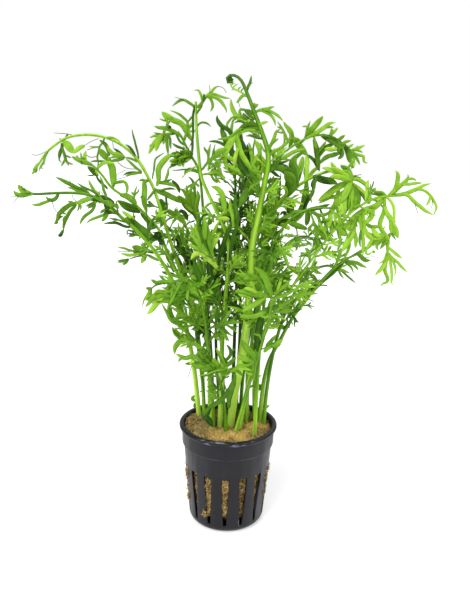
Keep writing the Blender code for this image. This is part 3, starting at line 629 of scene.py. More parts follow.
def makeWool():
    block = woolMesh()
    tree = fibreTree()
    top = {"Lift": 0.9, "Seed": 3, "Length": wool["fibreLength"]}
    side = {"Lift": 0.5, "Seed": 5, "Length": wool["fibreLength"] * 0.8}
    fibreLook = woolMaterial("woolFibre", 0.45)
    made = []
    for wanted, count, values in (
        (lambda place: place.z > wool["edge"] - 3 * mm, wool["topFibres"], top),
        (nearSlot, wool["sideFibres"], side),
    ):
        mesh, area = bristleMesh(block, wanted)
        values.update({"Density": count / area, "Thickness": wool["fibreThickness"], "Material": fibreLook})
        made.append(tree.applyTo(addObject("woolBristles", mesh), values))
    block.materials.append(woolMaterial("woolBlock", 0))
    pieces = [addObject(name, mesh) for name, mesh in zip(
        ("rock_wool_block", "rock_wool_top_fibres", "rock_wool_side_fibres"), [block, *made])]
    for piece in pieces:
        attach(piece, "root")
        print(piece.name, len(piece.data.polygons), "faces")
    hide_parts("rock_wool")


makeWool()


# The fronds

def figures(words):
    # the numbers in words such as 29,193.5
    return tuple(float(word) if "." in word else int(word) for word in words.split(","))


def marksIn(words):
    return tuple(figures(word) for word in words.split())


# Traced over the photograph. Each frond has the depth of its foot and its tip in millimetres, the
# width of its foot, the marks that its stalk passes, and its pinnae. A mark is across,down in pixels of the
# photograph. A pinna is across,down where it leaves the stalk, then across,down of its tip, its depth beyond
# the stalk in millimetres, and its pairs of lobes.
tracedFronds = {
    "frond_left_sweep": {
        "footDepth": 8, "tipDepth": -22, "width": 2.8,
        "marks": """
            200,424 197,395 194.5,372 191,350 187,331 183,315 176,290 168,272 158,256 149,244 134,228
            121,217 111,207 101,200 89,195 76,193 57,193 38,194 29,193.5""",
        "pinnae": """
            29,193,12,197,2,1 57,194,33,205,-4,1 72,194,59,236,-6,2 80,195,54,223,4,2 92,197,80,224,3,1
            89,196,56,178,4,2 106,203,100,176,4,1 118,214,97,224,-5,1 154,252,112,247,-6,3
            157,255,120,265,5,2 146,240,156,216,-6,1""",
    },
    "frond_left_middle": {
        "footDepth": 14, "tipDepth": -4, "width": 2.3,
        "marks": """
            204,417 202.5,377 200,350 196,325 188,300 178,275 165,247 159,230 140,209 128,199 112,188
            102,175 92,165 81,160""",
        "pinnae": """
            81,160,70,156,2,1 90,164,85,149,5,1 99,172,114,163,-4,1 105,179,86,176,5,1
            114,189,127,197,-8,1 134,204,137,186,6,1 142,211,128,215,-5,2 152,222,168,210,8,2
            162,240,141,246,10,2 170,257,190,250,10,2""",
    },
    "frond_left_arch": {
        "footDepth": 12, "tipDepth": 30, "width": 2.6,
        "marks": """
            210,421 209.7,377 208.4,350 203,330 195,308 186,285 176,258 167,230 160,207 154,189 147,175
            138,160 125,147 108,138 89,134.6 71,136.5 60,141.6 47,152 38,165""",
        "pinnae": """
            38,165,31,175,2,1 46,153,33,155,5,0 49,150,45,169,-4,1 60,142,61,165,6,2 64,140,82,148,-6,2
            70,137,54,133,4,0 95,135,75,153,-6,2 108,138,92,160,6,2 122,145,106,168,-7,2
            137,158,132,130,-3,0 139,162,112,177,6,2 147,175,141,195,-6,1 151,183,166,158,5,2
            156,195,187,203,8,2 175,256,190,268,12,2""",
    },
    "frond_left_tuft": {
        "footDepth": 5, "tipDepth": 4, "width": 2.2,
        "marks": """
            214,425 209,360 205.5,300 204,250 203,210 199,172 190,154 181,136""",
        "pinnae": """
            181,136,161,112,2,2 182,137,171,110,-6,1 183,139,152,126,-6,2 184,142,148,140,4,2
            187,147,149,154,-5,2 189,152,166,157,6,2 193,159,181,163,-8,2 184,141,194,121,5,1
            200,178,188,195,-8,2 204,245,216,234,-8,2""",
    },
    "frond_blunt_top": {
        "footDepth": -1, "tipDepth": -8, "width": 2.9, "blunt": True,
        "marks": """
            219.5,432 221.5,375 221.8,350 223,324 226,290 228.5,262 228,242 222,223 213,204 206.5,190
            201,175 198,149 196.3,124 195.7,101.5""",
        "pinnae": """
            196,110,173,105,-3,0 196,114,195,89,-12,0 196.5,118,227,92,5,1 196.5,121,227,112,-5,1
            197,130,211,126,4,0 199,166,182,178,-5,1 200,171,227,150,-5,2 201,176,226,178,5,2
            208,194,190,208,-9,2 219,216,240,211,-8,2 228,245,210,250,-9,2""",
    },
    "frond_tall_fiddlehead": {
        "footDepth": -2, "tipDepth": -3, "width": 4.0, "coiled": True,
        "marks": """
            229,435 235,391 239,372 243,350 246.6,326 248.6,305 250.6,277 252,250 255,230 259,212 265,181
            268,165 267.5,150 261.4,131 255,114 248.6,97 242.2,82 237,76.5 231,75 227,78 228,82.5 232,82""",
        "pinnae": """
            243,84,251,78,3,0 248,96,237,104,-4,1 254,111,275,107,4,1 256,116,277,127,-4,1
            257,118,239,116,3,2 262,131,217,139,-8,3 266,142,222,168,-4,2 268,155,290,132,-5,2
            267,172,244,186,-9,2 263,192,284,186,-9,2""",
    },
    "frond_right_crown": {
        "footDepth": 13, "tipDepth": 22, "width": 2.2,
        "marks": """
            247.7,420 247,380 248,340 250,300 253,260 257,225 262,195 271,168 285,152 303,140 320,135
            336,139 347,149""",
        "pinnae": """
            347,149,366,161,-3,2 344,146,366,146,4,2 338,140,351,138,-4,1 322,136,338,122,4,2
            310,138,324,115,-3,2 304,140,304,121,3,2 336,140,334,163,-7,3 345,148,354,169,-4,2
            312,138,309,160,7,2 290,149,293,172,-8,2 271,168,252,152,8,2""",
    },
    "frond_right_top": {
        "footDepth": 10, "tipDepth": 2, "width": 2.4,
        "marks": """
            255,424 254.6,391 256,364 256.6,340 258,310 260,280 264,251 268,226 275,208 288,193 302,183
            315,176 330,171 345,171""",
        "pinnae": """
            345,171,363,177,3,2 339,171,356,158,4,2 330,171,322,156,-5,2 342,171,348,208,-7,3
            334,171,330,205,5,2 318,175,312,203,-8,3 308,180,303,160,5,2 298,185,296,215,6,2
            284,197,281,172,-8,2 266,238,286,232,8,2""",
    },
    "frond_right_middle": {
        "footDepth": 3, "tipDepth": 1, "width": 2.1,
        "marks": """
            246,427 248,385 251,350 256,310 263,275 273,245 286,224 301,212 317,208 331,208""",
        "pinnae": """
            331,208,352,203,2,2 329,208,345,228,-5,3 320,208,329,243,5,2 309,209,315,258,-7,3
            300,213,290,196,5,2 294,218,297,250,8,2 284,227,268,214,9,2 276,240,289,266,-8,2
            262,278,280,290,9,2""",
    },
    "frond_right_reach": {
        "footDepth": -6, "tipDepth": -14, "width": 2.4,
        "marks": """
            238.8,437 244.5,401 250,374.6 255,357 262,340 276.7,310 292.8,286 310,262 328,238 345,218
            360,206 376,198 392,195.5""",
        "pinnae": """
            392,195.5,432,184,2,2 391,196,434,214,-4,1 389,196,408,175,4,1 388,196,396,171,-3,0
            386,196,399,236,-5,2 380,197,383,287,3,4 375,199,396,262,9,4 370,201,367,246,-6,3
            364,204,357,232,5,2 350,213,366,190,5,2 345,218,342,252,-6,3 328,238,318,222,4,2
            292,288,282,272,-7,2""",
    },
    "frond_right_sweep": {
        "footDepth": 5.5, "tipDepth": 8, "width": 2.5,
        "marks": """
            259,425 262,395 264.6,377 270,358.6 279,342.5 286,329 294,315.7 303.5,303.7 314,290 330,272
            345,260 362,252""",
        "pinnae": """
            362,252,378,258,2,1 356,254,370,265,-4,1 352,256,368,240,4,2 344,261,354,274,4,1
            334,268,341,247,-5,2 316,288,309,270,6,2 288,326,276,313,6,2 280,340,283,325,-5,1""",
    },
    "frond_dark_stem": {
        "footDepth": 3, "tipDepth": 10, "width": 1.8,
        "marks": """
            221,421 217.5,377 216,344 216.4,310 217.8,280 220,256 227,234 237,218 243,200 246,180""",
        "pinnae": """
            246,180,247,156,-3,2 245,186,232,160,4,2 243,198,256,176,-7,2 238,214,220,200,6,2
            232,225,250,236,-8,2""",
    },
    "frond_centre_back": {
        "footDepth": 14, "tipDepth": 26, "width": 2.0,
        "marks": """
            236,416 238,370 240,330 240,290 238,250 236,210 235,175 233,150""",
        "pinnae": """
            233,150,235,118,4,2 233,155,214,130,-3,2 234,165,250,136,5,2 235,180,212,182,5,2
            236,195,256,200,6,3 237,230,214,236,9,3""",
    },
    "frond_low_left": {
        "footDepth": 5, "tipDepth": -8, "width": 1.8,
        "marks": """
            205,415 203,390 200,365 197,342 194,320 188,302 176,293""",
        "pinnae": """
            176,293,150,287,2,2 179,295,146,301,-6,3 184,299,149,316,4,3 195,326,175,329,-6,2
            197,341,175,351,4,2 193,318,206,300,-7,2""",
    },
    "frond_low_front": {
        "footDepth": -8.5, "tipDepth": -26, "width": 2.0,
        "marks": """
            226,434 225,415 223,396 219,380 211,366 201,359""",
        "pinnae": """
            201,359,178,353,2,2 204,361,187,377,-3,2 208,364,197,348,3,1 214,370,222,352,-3,2
            219,380,236,373,-5,2""",
    },
    "frond_low_right": {
        "footDepth": -10, "tipDepth": -30, "width": 2.0,
        "marks": """
            234,437 243,405 252,375 260,350 267,325 272,302""",
        "pinnae": """
            272,302,255,268,-3,2 271,306,236,290,-5,2 269,314,240,316,4,2 272,303,292,280,3,2
            264,335,283,334,-4,2 258,356,242,343,-4,1""",
    },
}

# Fronds by rule, behind and in front of the others: azimuth in degrees, reach, height and droop of
# the tip in millimetres, the foot's place from the pot's axis, and the length of the lowest pinnae
ruledFronds = {
    "frond_back_left": (122, 66, 168, 20, (-9, 16), 25),
    "frond_back_middle": (84, 48, 196, 10, (2, 18.5), 25),
    "frond_back_right": (48, 74, 160, 24, (6.5, 17.5), 25),
    "frond_back_low": (100, 72, 118, 28, (-3, 13), 24),
    "frond_side_right": (20, 48, 150, 20, (19, 0.5), 22),
    "frond_front_left": (248, 46, 150, 18, (-9, -5), 23),
    "frond_front_right": (285, 38, 165, 14, (14, -11), 23),
}
ruledWidth = 2.2 * mm

# The pairs of pinnae on such a frond: the place along the stalk, their length as a share of the
# lowest pair's, and their pairs of lobes
ruledPinnae = ((0.52, 1.0, 3), (0.69, 0.78, 2), (0.86, 0.56, 1))


# The joints of a pinna's rib that carry a pair of lobes, by the number of pairs: each joint's start and
# end, and its lobes' length, as fractions of the pinna's length
lobeJoints = {
    0: (),
    1: ((0.34, 0.56, 0.42),),
    2: ((0.26, 0.44, 0.42), (0.44, 0.62, 0.35)),
    3: ((0.22, 0.36, 0.4), (0.36, 0.5, 0.36), (0.5, 0.64, 0.3)),
    4: ((0.16, 0.24, 0.2), (0.33, 0.42, 0.26), (0.51, 0.6, 0.26), (0.7, 0.79, 0.2)),
}

# What the CAD model fixed about the plant's growth
growth = {
    "footLevel": 47 * mm,
    "stemTipWidth": 1.1 * mm,
    "ribWidth": 1.7 * mm,
    "longestLobe": 10.5 * mm,
    "tries": 24,
    "sameTip": 0.04 * mm,
    "stepsPerMark": 10,
}


def squareTo(vector, axis):
    return (vector - axis * vector.dot(axis)).normalized()


def smoothThrough(marks):
    # points on a smooth curve that passes every mark
    steps = growth["stepsPerMark"]
    ends = [marks[0] * 2 - marks[1], *marks, marks[-1] * 2 - marks[-2]]
    points = []
    for before, start, end, after in zip(ends, ends[1:], ends[2:], ends[3:]):
        for step in range(steps):
            part = step / steps
            bend = (2 * before - 5 * start + 4 * end - after) * part * part
            turn = (3 * start - before - 3 * end + after) * part ** 3
            points.append(0.5 * (2 * start + (end - before) * part + bend + turn))
    return [*points, marks[-1]]


def frameAt(point, tangent, facing, turn):
    # the point and its tangent, side and normal, where the normal faces that way but for the turn
    normal = Matrix.Rotation(turn, 3, tangent) @ squareTo(facing, tangent)
    return point, tangent, normal.cross(tangent), normal


def bendFrame(line, part, turn):
    # the frame this part of the way along a line that bends from its root, by its middle, to its tip
    first = line.root.lerp(line.middle, part)
    point = first.lerp(line.middle.lerp(line.tip, part), part)
    tangent = (line.middle - line.root).lerp(line.tip - line.middle, part).normalized()
    return frameAt(point, tangent, line.facing, turn)


class Route:
    # a smooth curve, measured along its length
    def __init__(self, marks):
        self.points = smoothThrough(marks)
        self.lengths = [0.0]
        for first, second in zip(self.points, self.points[1:]):
            self.lengths.append(self.lengths[-1] + (second - first).length)
        self.length = self.lengths[-1]

    def at(self, distance):
        index = 0
        while index < len(self.points) - 2 and self.lengths[index + 1] < distance:
            index += 1
        span = self.lengths[index + 1] - self.lengths[index]
        return self.points[index].lerp(self.points[index + 1], (distance - self.lengths[index]) / span)

    def heading(self, distance):
        step = 0.8 * mm
        return (self.at(distance + step) - self.at(distance - step)).normalized()

    def nearest(self, across, down):
        ray = sight(across, down).normalized()
        away = [(point - photo["eye"]).cross(ray).length for point in self.points]
        return self.lengths[away.index(min(away))]


class Frond:
    # a stalk along its route, with its wishes for pinnae
    def __init__(self, name, marks, width, across, blunt=False, coiled=False):
        first, second = marks[:2]
        sink = (second.z - growth["footLevel"]) / (second.z - first.z)
        self.name = name
        self.route = Route([second + (first - second) * sink, *marks[1:]])
        self.footWidth = width
        self.across = across
        self.blunt = blunt
        self.coiled = coiled
        self.wishes = []

    def width(self, distance):
        left = 1 - min(max(distance / self.route.length, 0), 1)
        return growth["stemTipWidth"] + (self.footWidth - growth["stemTipWidth"]) * left ** 0.85

    def section(self, distance):
        heading = self.route.heading(distance)
        side = squareTo(self.across, heading)
        return self.route.at(distance), side, heading.cross(side), self.width(distance)


class Pinna:
    # one branch of a frond: a rib that bends to its tip, with pairs of lobes along it
    def __init__(self, frond, start, tip, pairs, chance, towardViewer, turn):
        self.start = start
        self.tip = tip
        self.pairs = pairs
        heading = frond.route.heading(start)
        centre = frond.route.at(start)
        self.root = centre + squareTo(tip - centre, heading) * frond.width(start) / 2
        chord = self.tip - self.root
        self.length = chord.length
        bow = squareTo(heading, chord.normalized()) * self.length * chance.uniform(0.08, 0.2)
        self.middle = self.root + chord / 2 + bow
        outward = Vector((self.root.x, self.root.y, 0)).normalized()
        drift = Vector([chance.uniform(-1, 1) for _ in range(3)])
        self.facing = outward * 0.45 + Vector((0, -towardViewer, 0.55)) + drift * 0.35
        self.turn = turn + chance.uniform(-0.35, 0.35)
        self.lobes = []
        for first, second, part in lobeJoints[pairs]:
            for sign in (-1, 1):
                self.lobes.append(self.lobeTip((first + second) / 2, sign, part, chance))

    def lobeTip(self, fraction, sign, part, chance):
        point, tangent, side, normal = self.section(fraction)
        width = growth["ribWidth"] * (1.15 - 0.5 * fraction) * min(1, self.length / (14 * mm))
        lean = chance.uniform(0.62, 0.95)
        rise = chance.uniform(-0.25, 0.25)
        length = min(self.length * part, growth["longestLobe"]) * chance.uniform(0.82, 1.18)
        direction = tangent * math.cos(lean) + side * sign * math.sin(lean) + normal * rise
        return point + side * sign * width / 2 + direction.normalized() * length

    def section(self, fraction):
        return bendFrame(self, fraction, self.turn)


def tracedFrond(name, facts):
    marks = marksIn(facts["marks"])
    last = len(marks) - 1
    points = []
    for index, (across, down) in enumerate(marks):
        depth = facts["footDepth"] + (facts["tipDepth"] - facts["footDepth"]) * (index / last) ** 1.4
        points.append(onSightLine(across, down, depth * mm))
    frond = Frond(name, points, facts["width"] * mm, Vector((0, 1, 0)),
                  facts.get("blunt", False), facts.get("coiled", False))
    frond.wishes = [("traced", *pinna) for pinna in marksIn(facts["pinnae"])]
    return frond


def ruledFrond(name, facts):
    degrees, reach, height, droop, foot, longest = facts
    turn = math.radians(degrees)
    out = Vector((math.cos(turn), math.sin(turn), 0))
    start = Vector((foot[0] * mm, foot[1] * mm, growth["footLevel"]))
    points = []
    for step in range(9):
        t = step / 8
        rise = (height * mm - growth["footLevel"]) * (1 - (1 - t) ** 1.9) - droop * mm * t ** 5
        points.append(start + out * reach * mm * t ** 1.9 + Vector((0, 0, rise)))
    frond = Frond(name, points, ruledWidth, Vector((-out.y, out.x, 0)))
    for along, share, pairs in ruledPinnae:
        for side in (-1, 1):
            frond.wishes.append(("ruled", along + 0.008 * side, side, longest * share, pairs))
    return frond


def planPinna(frond, index, attempt):
    # one way to place a frond's pinna, with the same chances as in the CAD model
    kind, *wish = frond.wishes[index]
    chance = random.Random(f"{frond.name} {index} {attempt}")
    sway = (attempt + 1) // 2 * (1 if attempt % 2 else -1)
    if kind == "traced":
        rootAcross, rootDown, tipAcross, tipDown, deeper, pairs = wish
        start = frond.route.nearest(rootAcross, rootDown)
        depth = frond.route.at(start).y + (deeper + 1.1 * sway) * mm
        wander = 0.35 * attempt
        tip = onSightLine(tipAcross + chance.uniform(-wander, wander),
                          tipDown + chance.uniform(-wander, wander), depth)
        return Pinna(frond, start, tip, pairs, chance, 0.6, 0.25 * sway)
    along, side, longest, pairs = wish
    start = frond.route.length * along
    heading = frond.route.heading(start)
    centre, across, normal, width = frond.section(start)
    lean = chance.uniform(0.75, 1.05) + 0.03 * sway
    lift = chance.uniform(-0.25, 0.3) + 0.05 * sway
    direction = heading * math.cos(lean) + across * side * math.sin(lean) + normal * lift
    direction.z -= 0.18
    length = longest * mm * chance.uniform(0.85, 1.1) * (1 - 0.012 * attempt)
    tip = centre + direction.normalized() * (length + width / 2)
    return Pinna(frond, start, tip, pairs, chance, 0.1, 0.2 * sway)


def pinnaeInFrame(frond):
    # the pinnae whose tip and lobes the CAD node has: each is one of the ways of placing it
    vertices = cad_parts[frond.name].data.vertices
    corners = KDTree(len(vertices))
    for index, vertex in enumerate(vertices):
        corners.insert(vertex.co, index)
    corners.balance()
    found = {}
    for index in range(len(frond.wishes)):
        for attempt in range(growth["tries"]):
            pinna = planPinna(frond, index, attempt)
            if all(corners.find(tip)[2] < growth["sameTip"] for tip in [pinna.tip, *pinna.lobes]):
                found[index] = pinna
                break
    return found


# The leaf blades: each pinna is a cage of straps that fork, and a frond's straps are one sheet. A lobe that
# is long enough may have a tooth: its least length, how likely, where along it and the longest tooth.

leaf = {
    "petioleWidth": 1.05 * mm,
    "neckWidth": 1.65 * mm,
    "bladeWidth": 2.15 * mm,
    "lobeNeck": 1.2 * mm,
    "lobeWidth": 1.85 * mm,
    "toothNeck": 1.0 * mm,
    "toothWidth": 1.35 * mm,
    "rowSpacing": 1.95 * mm,
    "webReach": 1.3 * mm,
    "toothBase": 0.85 * mm,
    "curl": 0.12,
    "thickness": 0.7 * mm,
    "edgeThinness": 0.35,
    "threadShare": 0.1,
    "greyFrom": 0.75,
    "greyReach": 1.7,
    "threadWidth": 0.26 * mm,
    "swellShare": 0.4,
    "taperShare": 0.68,
    "taperPower": 0.85,
    "lobeTeeth": ((8.5 * mm, 0.7, (0.36, 0.5), 4.8 * mm), (6 * mm, 0.35, (0.4, 0.55), 3.6 * mm)),
}


class Sheet:
    # the points and faces of a frond's blades, with the values that their material reads
    def __init__(self):
        self.points = []
        self.faces = []
        self.values = {"rib": [], "tint": [], "reach": [], "crease_vert": []}

    def point(self, place, rib, tint, reach, crease=0.0):
        self.points.append(place)
        for name, value in zip(self.values, (rib, tint, reach, crease)):
            self.values[name].append(value)
        return len(self.points) - 1

    def strip(self, low, high):
        for index in range(2):
            self.faces.append((low[index], low[index + 1], high[index + 1], high[index]))

    def mesh(self, name):
        mesh = bpy.data.meshes.new(name)
        mesh.from_pydata(self.points, [], self.faces)
        for title, values in self.values.items():
            mesh.attributes.new(title, "FLOAT", "POINT").data.foreach_set("value", values)
        return mesh


class Strap:
    # a blade's strip: its bent middle line, its widths at the foot, the neck and the blade's fullest part,
    # and where along it the blade proper starts
    def __init__(self, root, middle, tip, facing, turn, twist, widths, bladeStart, tint, chance):
        self.root, self.middle, self.tip = root, middle, tip
        self.facing = facing
        self.turn = turn
        self.twist = twist
        self.widths = widths
        self.bladeStart = bladeStart
        self.tint = tint
        self.curl = leaf["curl"] * chance.uniform(-0.4, 1.6)
        self.thread = chance.random() < leaf["threadShare"]
        self.grey = leaf["greyFrom"] if self.thread else 2.0
        self.length = (middle - root).length + (tip - middle).length
        self.spacing = leaf["rowSpacing"]
        self.forks = []

    def frame(self, part):
        return bendFrame(self, part, self.turn + self.twist * part)

    def width(self, part):
        foot, neck, full = self.widths
        if part < self.bladeStart:
            return foot + (neck - foot) * part / self.bladeStart
        grown = (part - self.bladeStart) / (1 - self.bladeStart)
        swell = neck + (full - neck) * min(1, grown / leaf["swellShare"])
        if self.thread:
            return max(leaf["threadWidth"], swell * min(1, max(0, 0.66 - grown) / 0.5))
        return swell * min(1, (1 - grown) / leaf["taperShare"]) ** leaf["taperPower"]

    def row(self, sheet, part):
        point, tangent, side, normal = self.frame(part)
        half = self.width(part) / 2
        under = normal * self.curl * half * 2
        # a reach past 1 makes the blade grey there
        reach = part if part < self.grey else max(leaf["greyReach"], part + 1)
        left = sheet.point(point + side * half - under, 0.0, self.tint, reach)
        rib = sheet.point(point, 1.0, self.tint, reach)
        right = sheet.point(point - side * half - under, 0.0, self.tint, reach)
        return left, rib, right

    def stretch(self, sheet, low, reached, end):
        count = max(1, math.ceil((end - reached) * self.length / self.spacing))
        for step in range(1, count + 1):
            high = self.row(sheet, reached + (end - reached) * step / count)
            sheet.strip(low, high)
            low = high
        return low

    def grow(self, sheet, low, reached):
        for first, second, branches in self.forks:
            low = self.stretch(sheet, low, reached, first)
            middle = self.row(sheet, (first + second) / 2)
            high = self.row(sheet, second)
            sheet.strip(low, middle)
            sheet.strip(middle, high)
            for sign, branch in branches:
                edge = (low[0], middle[0], high[0]) if sign > 0 else (high[2], middle[2], low[2])
                neck = branch.row(sheet, branch.webShare())
                sheet.strip(edge, neck)
                branch.grow(sheet, neck, branch.webShare())
            low, reached = high, second
        low = self.stretch(sheet, low, reached, max(reached + 0.02, 1 - 0.5 * mm / self.length))
        tip = sheet.point(self.tip, 0.5, self.tint, 2.0 if self.thread else 1.0, 1.0)
        sheet.faces += [(low[0], low[1], tip), (low[1], low[2], tip)]

    def webShare(self):
        return min(0.4, leaf["webReach"] / self.length)

    def branch(self, part, sign, tip, widths, chance):
        # a strap that leaves this one's edge and curves forward to its tip
        point, tangent, side, normal = self.frame(part)
        root = point + side * sign * self.width(part) / 2
        chord = tip - root
        bend = chance.uniform(-0.08, 0.26)
        sag = chance.uniform(-0.14, 0.08)
        out = squareTo(side * sign, chord.normalized())
        middle = root + chord / 2 + (out * bend + normal * sag) * chord.length
        tint = min(1, max(0, self.tint + chance.uniform(-0.16, 0.16)))
        return Strap(root, middle, tip, normal, chance.uniform(-0.25, 0.25), chance.uniform(-0.5, 0.5),
                     widths, leaf["webReach"] / chord.length * 1.2, tint, chance)

    def addTeeth(self, places, chance, longest):
        # small lobes at these places along the strap, on alternate sides
        sign = chance.choice((-1, 1))
        half = leaf["toothBase"] / self.length
        for place in places:
            point, tangent, side, normal = self.frame(place)
            lean = chance.uniform(0.5, 0.85)
            length = min(longest, self.length * (1 - place) * chance.uniform(0.6, 0.95))
            direction = tangent * math.cos(lean) + side * sign * math.sin(lean)
            direction += normal * chance.uniform(-0.25, 0.2)
            root = point + side * sign * self.width(place) / 2
            tip = root + direction.normalized() * length
            widths = (leaf["toothNeck"], leaf["toothNeck"], leaf["toothWidth"] * min(1, length / (3 * mm)))
            tooth = self.branch(place, sign, tip, widths, chance)
            self.forks.append((place - half, place + half, [(sign, tooth)]))
            sign = -sign


def pinnaStrap(frond, pinna, tint, chance):
    # the blade over a pinna's solid, its lobes with it, and the middle of the stalk where it leaves
    size = min(1, pinna.length / (13 * mm)) ** 0.5
    joints = lobeJoints[pinna.pairs]
    bladeStart = joints[-1][1] if joints else 0.2
    centre = frond.route.at(pinna.start)
    widths = (leaf["petioleWidth"] * size, leaf["neckWidth"] * size, leaf["bladeWidth"] * size)
    strap = Strap(pinna.root, pinna.middle, pinna.tip, pinna.facing, pinna.turn, chance.uniform(-0.15, 0.15),
                  widths, bladeStart, tint, chance)
    lobes = iter(pinna.lobes)
    for first, second, _ in joints:
        middle, half = (first + second) / 2, (second - first) / 2 * 0.5
        branches = []
        for sign in (-1, 1):
            tip = next(lobes)
            widths = (leaf["lobeNeck"] * size, leaf["lobeNeck"] * size, leaf["lobeWidth"] * size)
            lobe = strap.branch(middle, sign, tip, widths, chance)
            for least, likely, stretch, longest in leaf["lobeTeeth"]:
                if lobe.length > least and chance.random() < likely:
                    lobe.addTeeth((chance.uniform(*stretch),), chance, longest)
                    break
            branches.append((sign, lobe))
        strap.forks.append((middle - half, middle + half, branches))
    left = (1 - bladeStart) * strap.length
    if left > 12 * mm:
        spread = (0.26, 0.56)
        strap.addTeeth([bladeStart + (1 - bladeStart) * share for share in spread], chance, 5 * mm)
    elif left > 7 * mm and chance.random() < 0.6:
        strap.addTeeth([bladeStart + (1 - bladeStart) * 0.36], chance, 4 * mm)
    return strap, centre


# More pinnae by rule, where the photograph shows dense leaves: the stretch of the stalk, as fractions of its
# length, then their spacing and the longest of them in millimetres
fills = {
    "frond_left_sweep": (0.6, 0.82, 9, 9),
    "frond_left_middle": (0.5, 0.66, 9, 11),
    "frond_left_arch": (0.45, 0.6, 9, 12),
    "frond_left_tuft": (0.45, 0.72, 7, 14),
    "frond_blunt_top": (0.4, 0.7, 6, 17),
    "frond_tall_fiddlehead": (0.46, 0.8, 7, 16),
    "frond_right_crown": (0.42, 0.8, 6, 18),
    "frond_right_top": (0.42, 0.85, 6, 17),
    "frond_right_middle": (0.45, 0.8, 7, 16),
    "frond_right_reach": (0.5, 0.93, 8, 16),
    "frond_right_sweep": (0.6, 0.8, 12, 9),
    "frond_dark_stem": (0.4, 0.97, 6, 18),
    "frond_centre_back": (0.4, 0.97, 6, 19),
    "frond_low_left": (0.5, 0.97, 8, 12),
    "frond_low_front": (0.4, 0.97, 9, 10),
    "frond_low_right": (0.6, 0.88, 12, 9),
    "frond_side_right": (0.6, 0.92, 26, 8),
    "ruled": (0.48, 0.92, 11, 15),
}


fillRule = {
    "droop": 0.12,
    "shortening": 0.45,
    "leastGap": 5 * mm,
    "onePair": 8 * mm,
    "twoPairs": 14 * mm,
}


def fillPinnae(frond, pinnae):
    # pinnae along the dense stretch, on alternate sides, where no other tip is near
    first, last, spacing, longest = fills.get(frond.name, fills["ruled"])
    chance = random.Random(frond.name + " fill")
    tips = [pinna.tip for pinna in pinnae]
    made = []
    distance = first * frond.route.length
    sign = 1
    while distance < last * frond.route.length:
        along = (distance / frond.route.length - first) / (last - first)
        heading = frond.route.heading(distance)
        centre, side, normal, width = frond.section(distance)
        out, across = (side, normal) if frond.name in ruledFronds else (normal, side)
        lean = chance.uniform(0.65, 1.1)
        swing = chance.uniform(-0.9, 0.9)
        outward = out * sign * math.cos(swing) + across * math.sin(swing)
        direction = heading * math.cos(lean) + outward * math.sin(lean)
        direction.z -= fillRule["droop"]
        length = longest * mm * (1 - fillRule["shortening"] * along) * chance.uniform(0.8, 1.2)
        tip = centre + direction.normalized() * length
        if all((tip - other).length > fillRule["leastGap"] for other in tips):
            pairs = 1 if length < fillRule["onePair"] else 2 if length < fillRule["twoPairs"] else 3
            made.append(Pinna(frond, distance, tip, pairs, chance, 0.3, chance.uniform(-0.5, 0.5)))
            tips.append(tip)
        sign = -sign
        distance += spacing * mm * chance.uniform(0.35, 0.65)
    return made


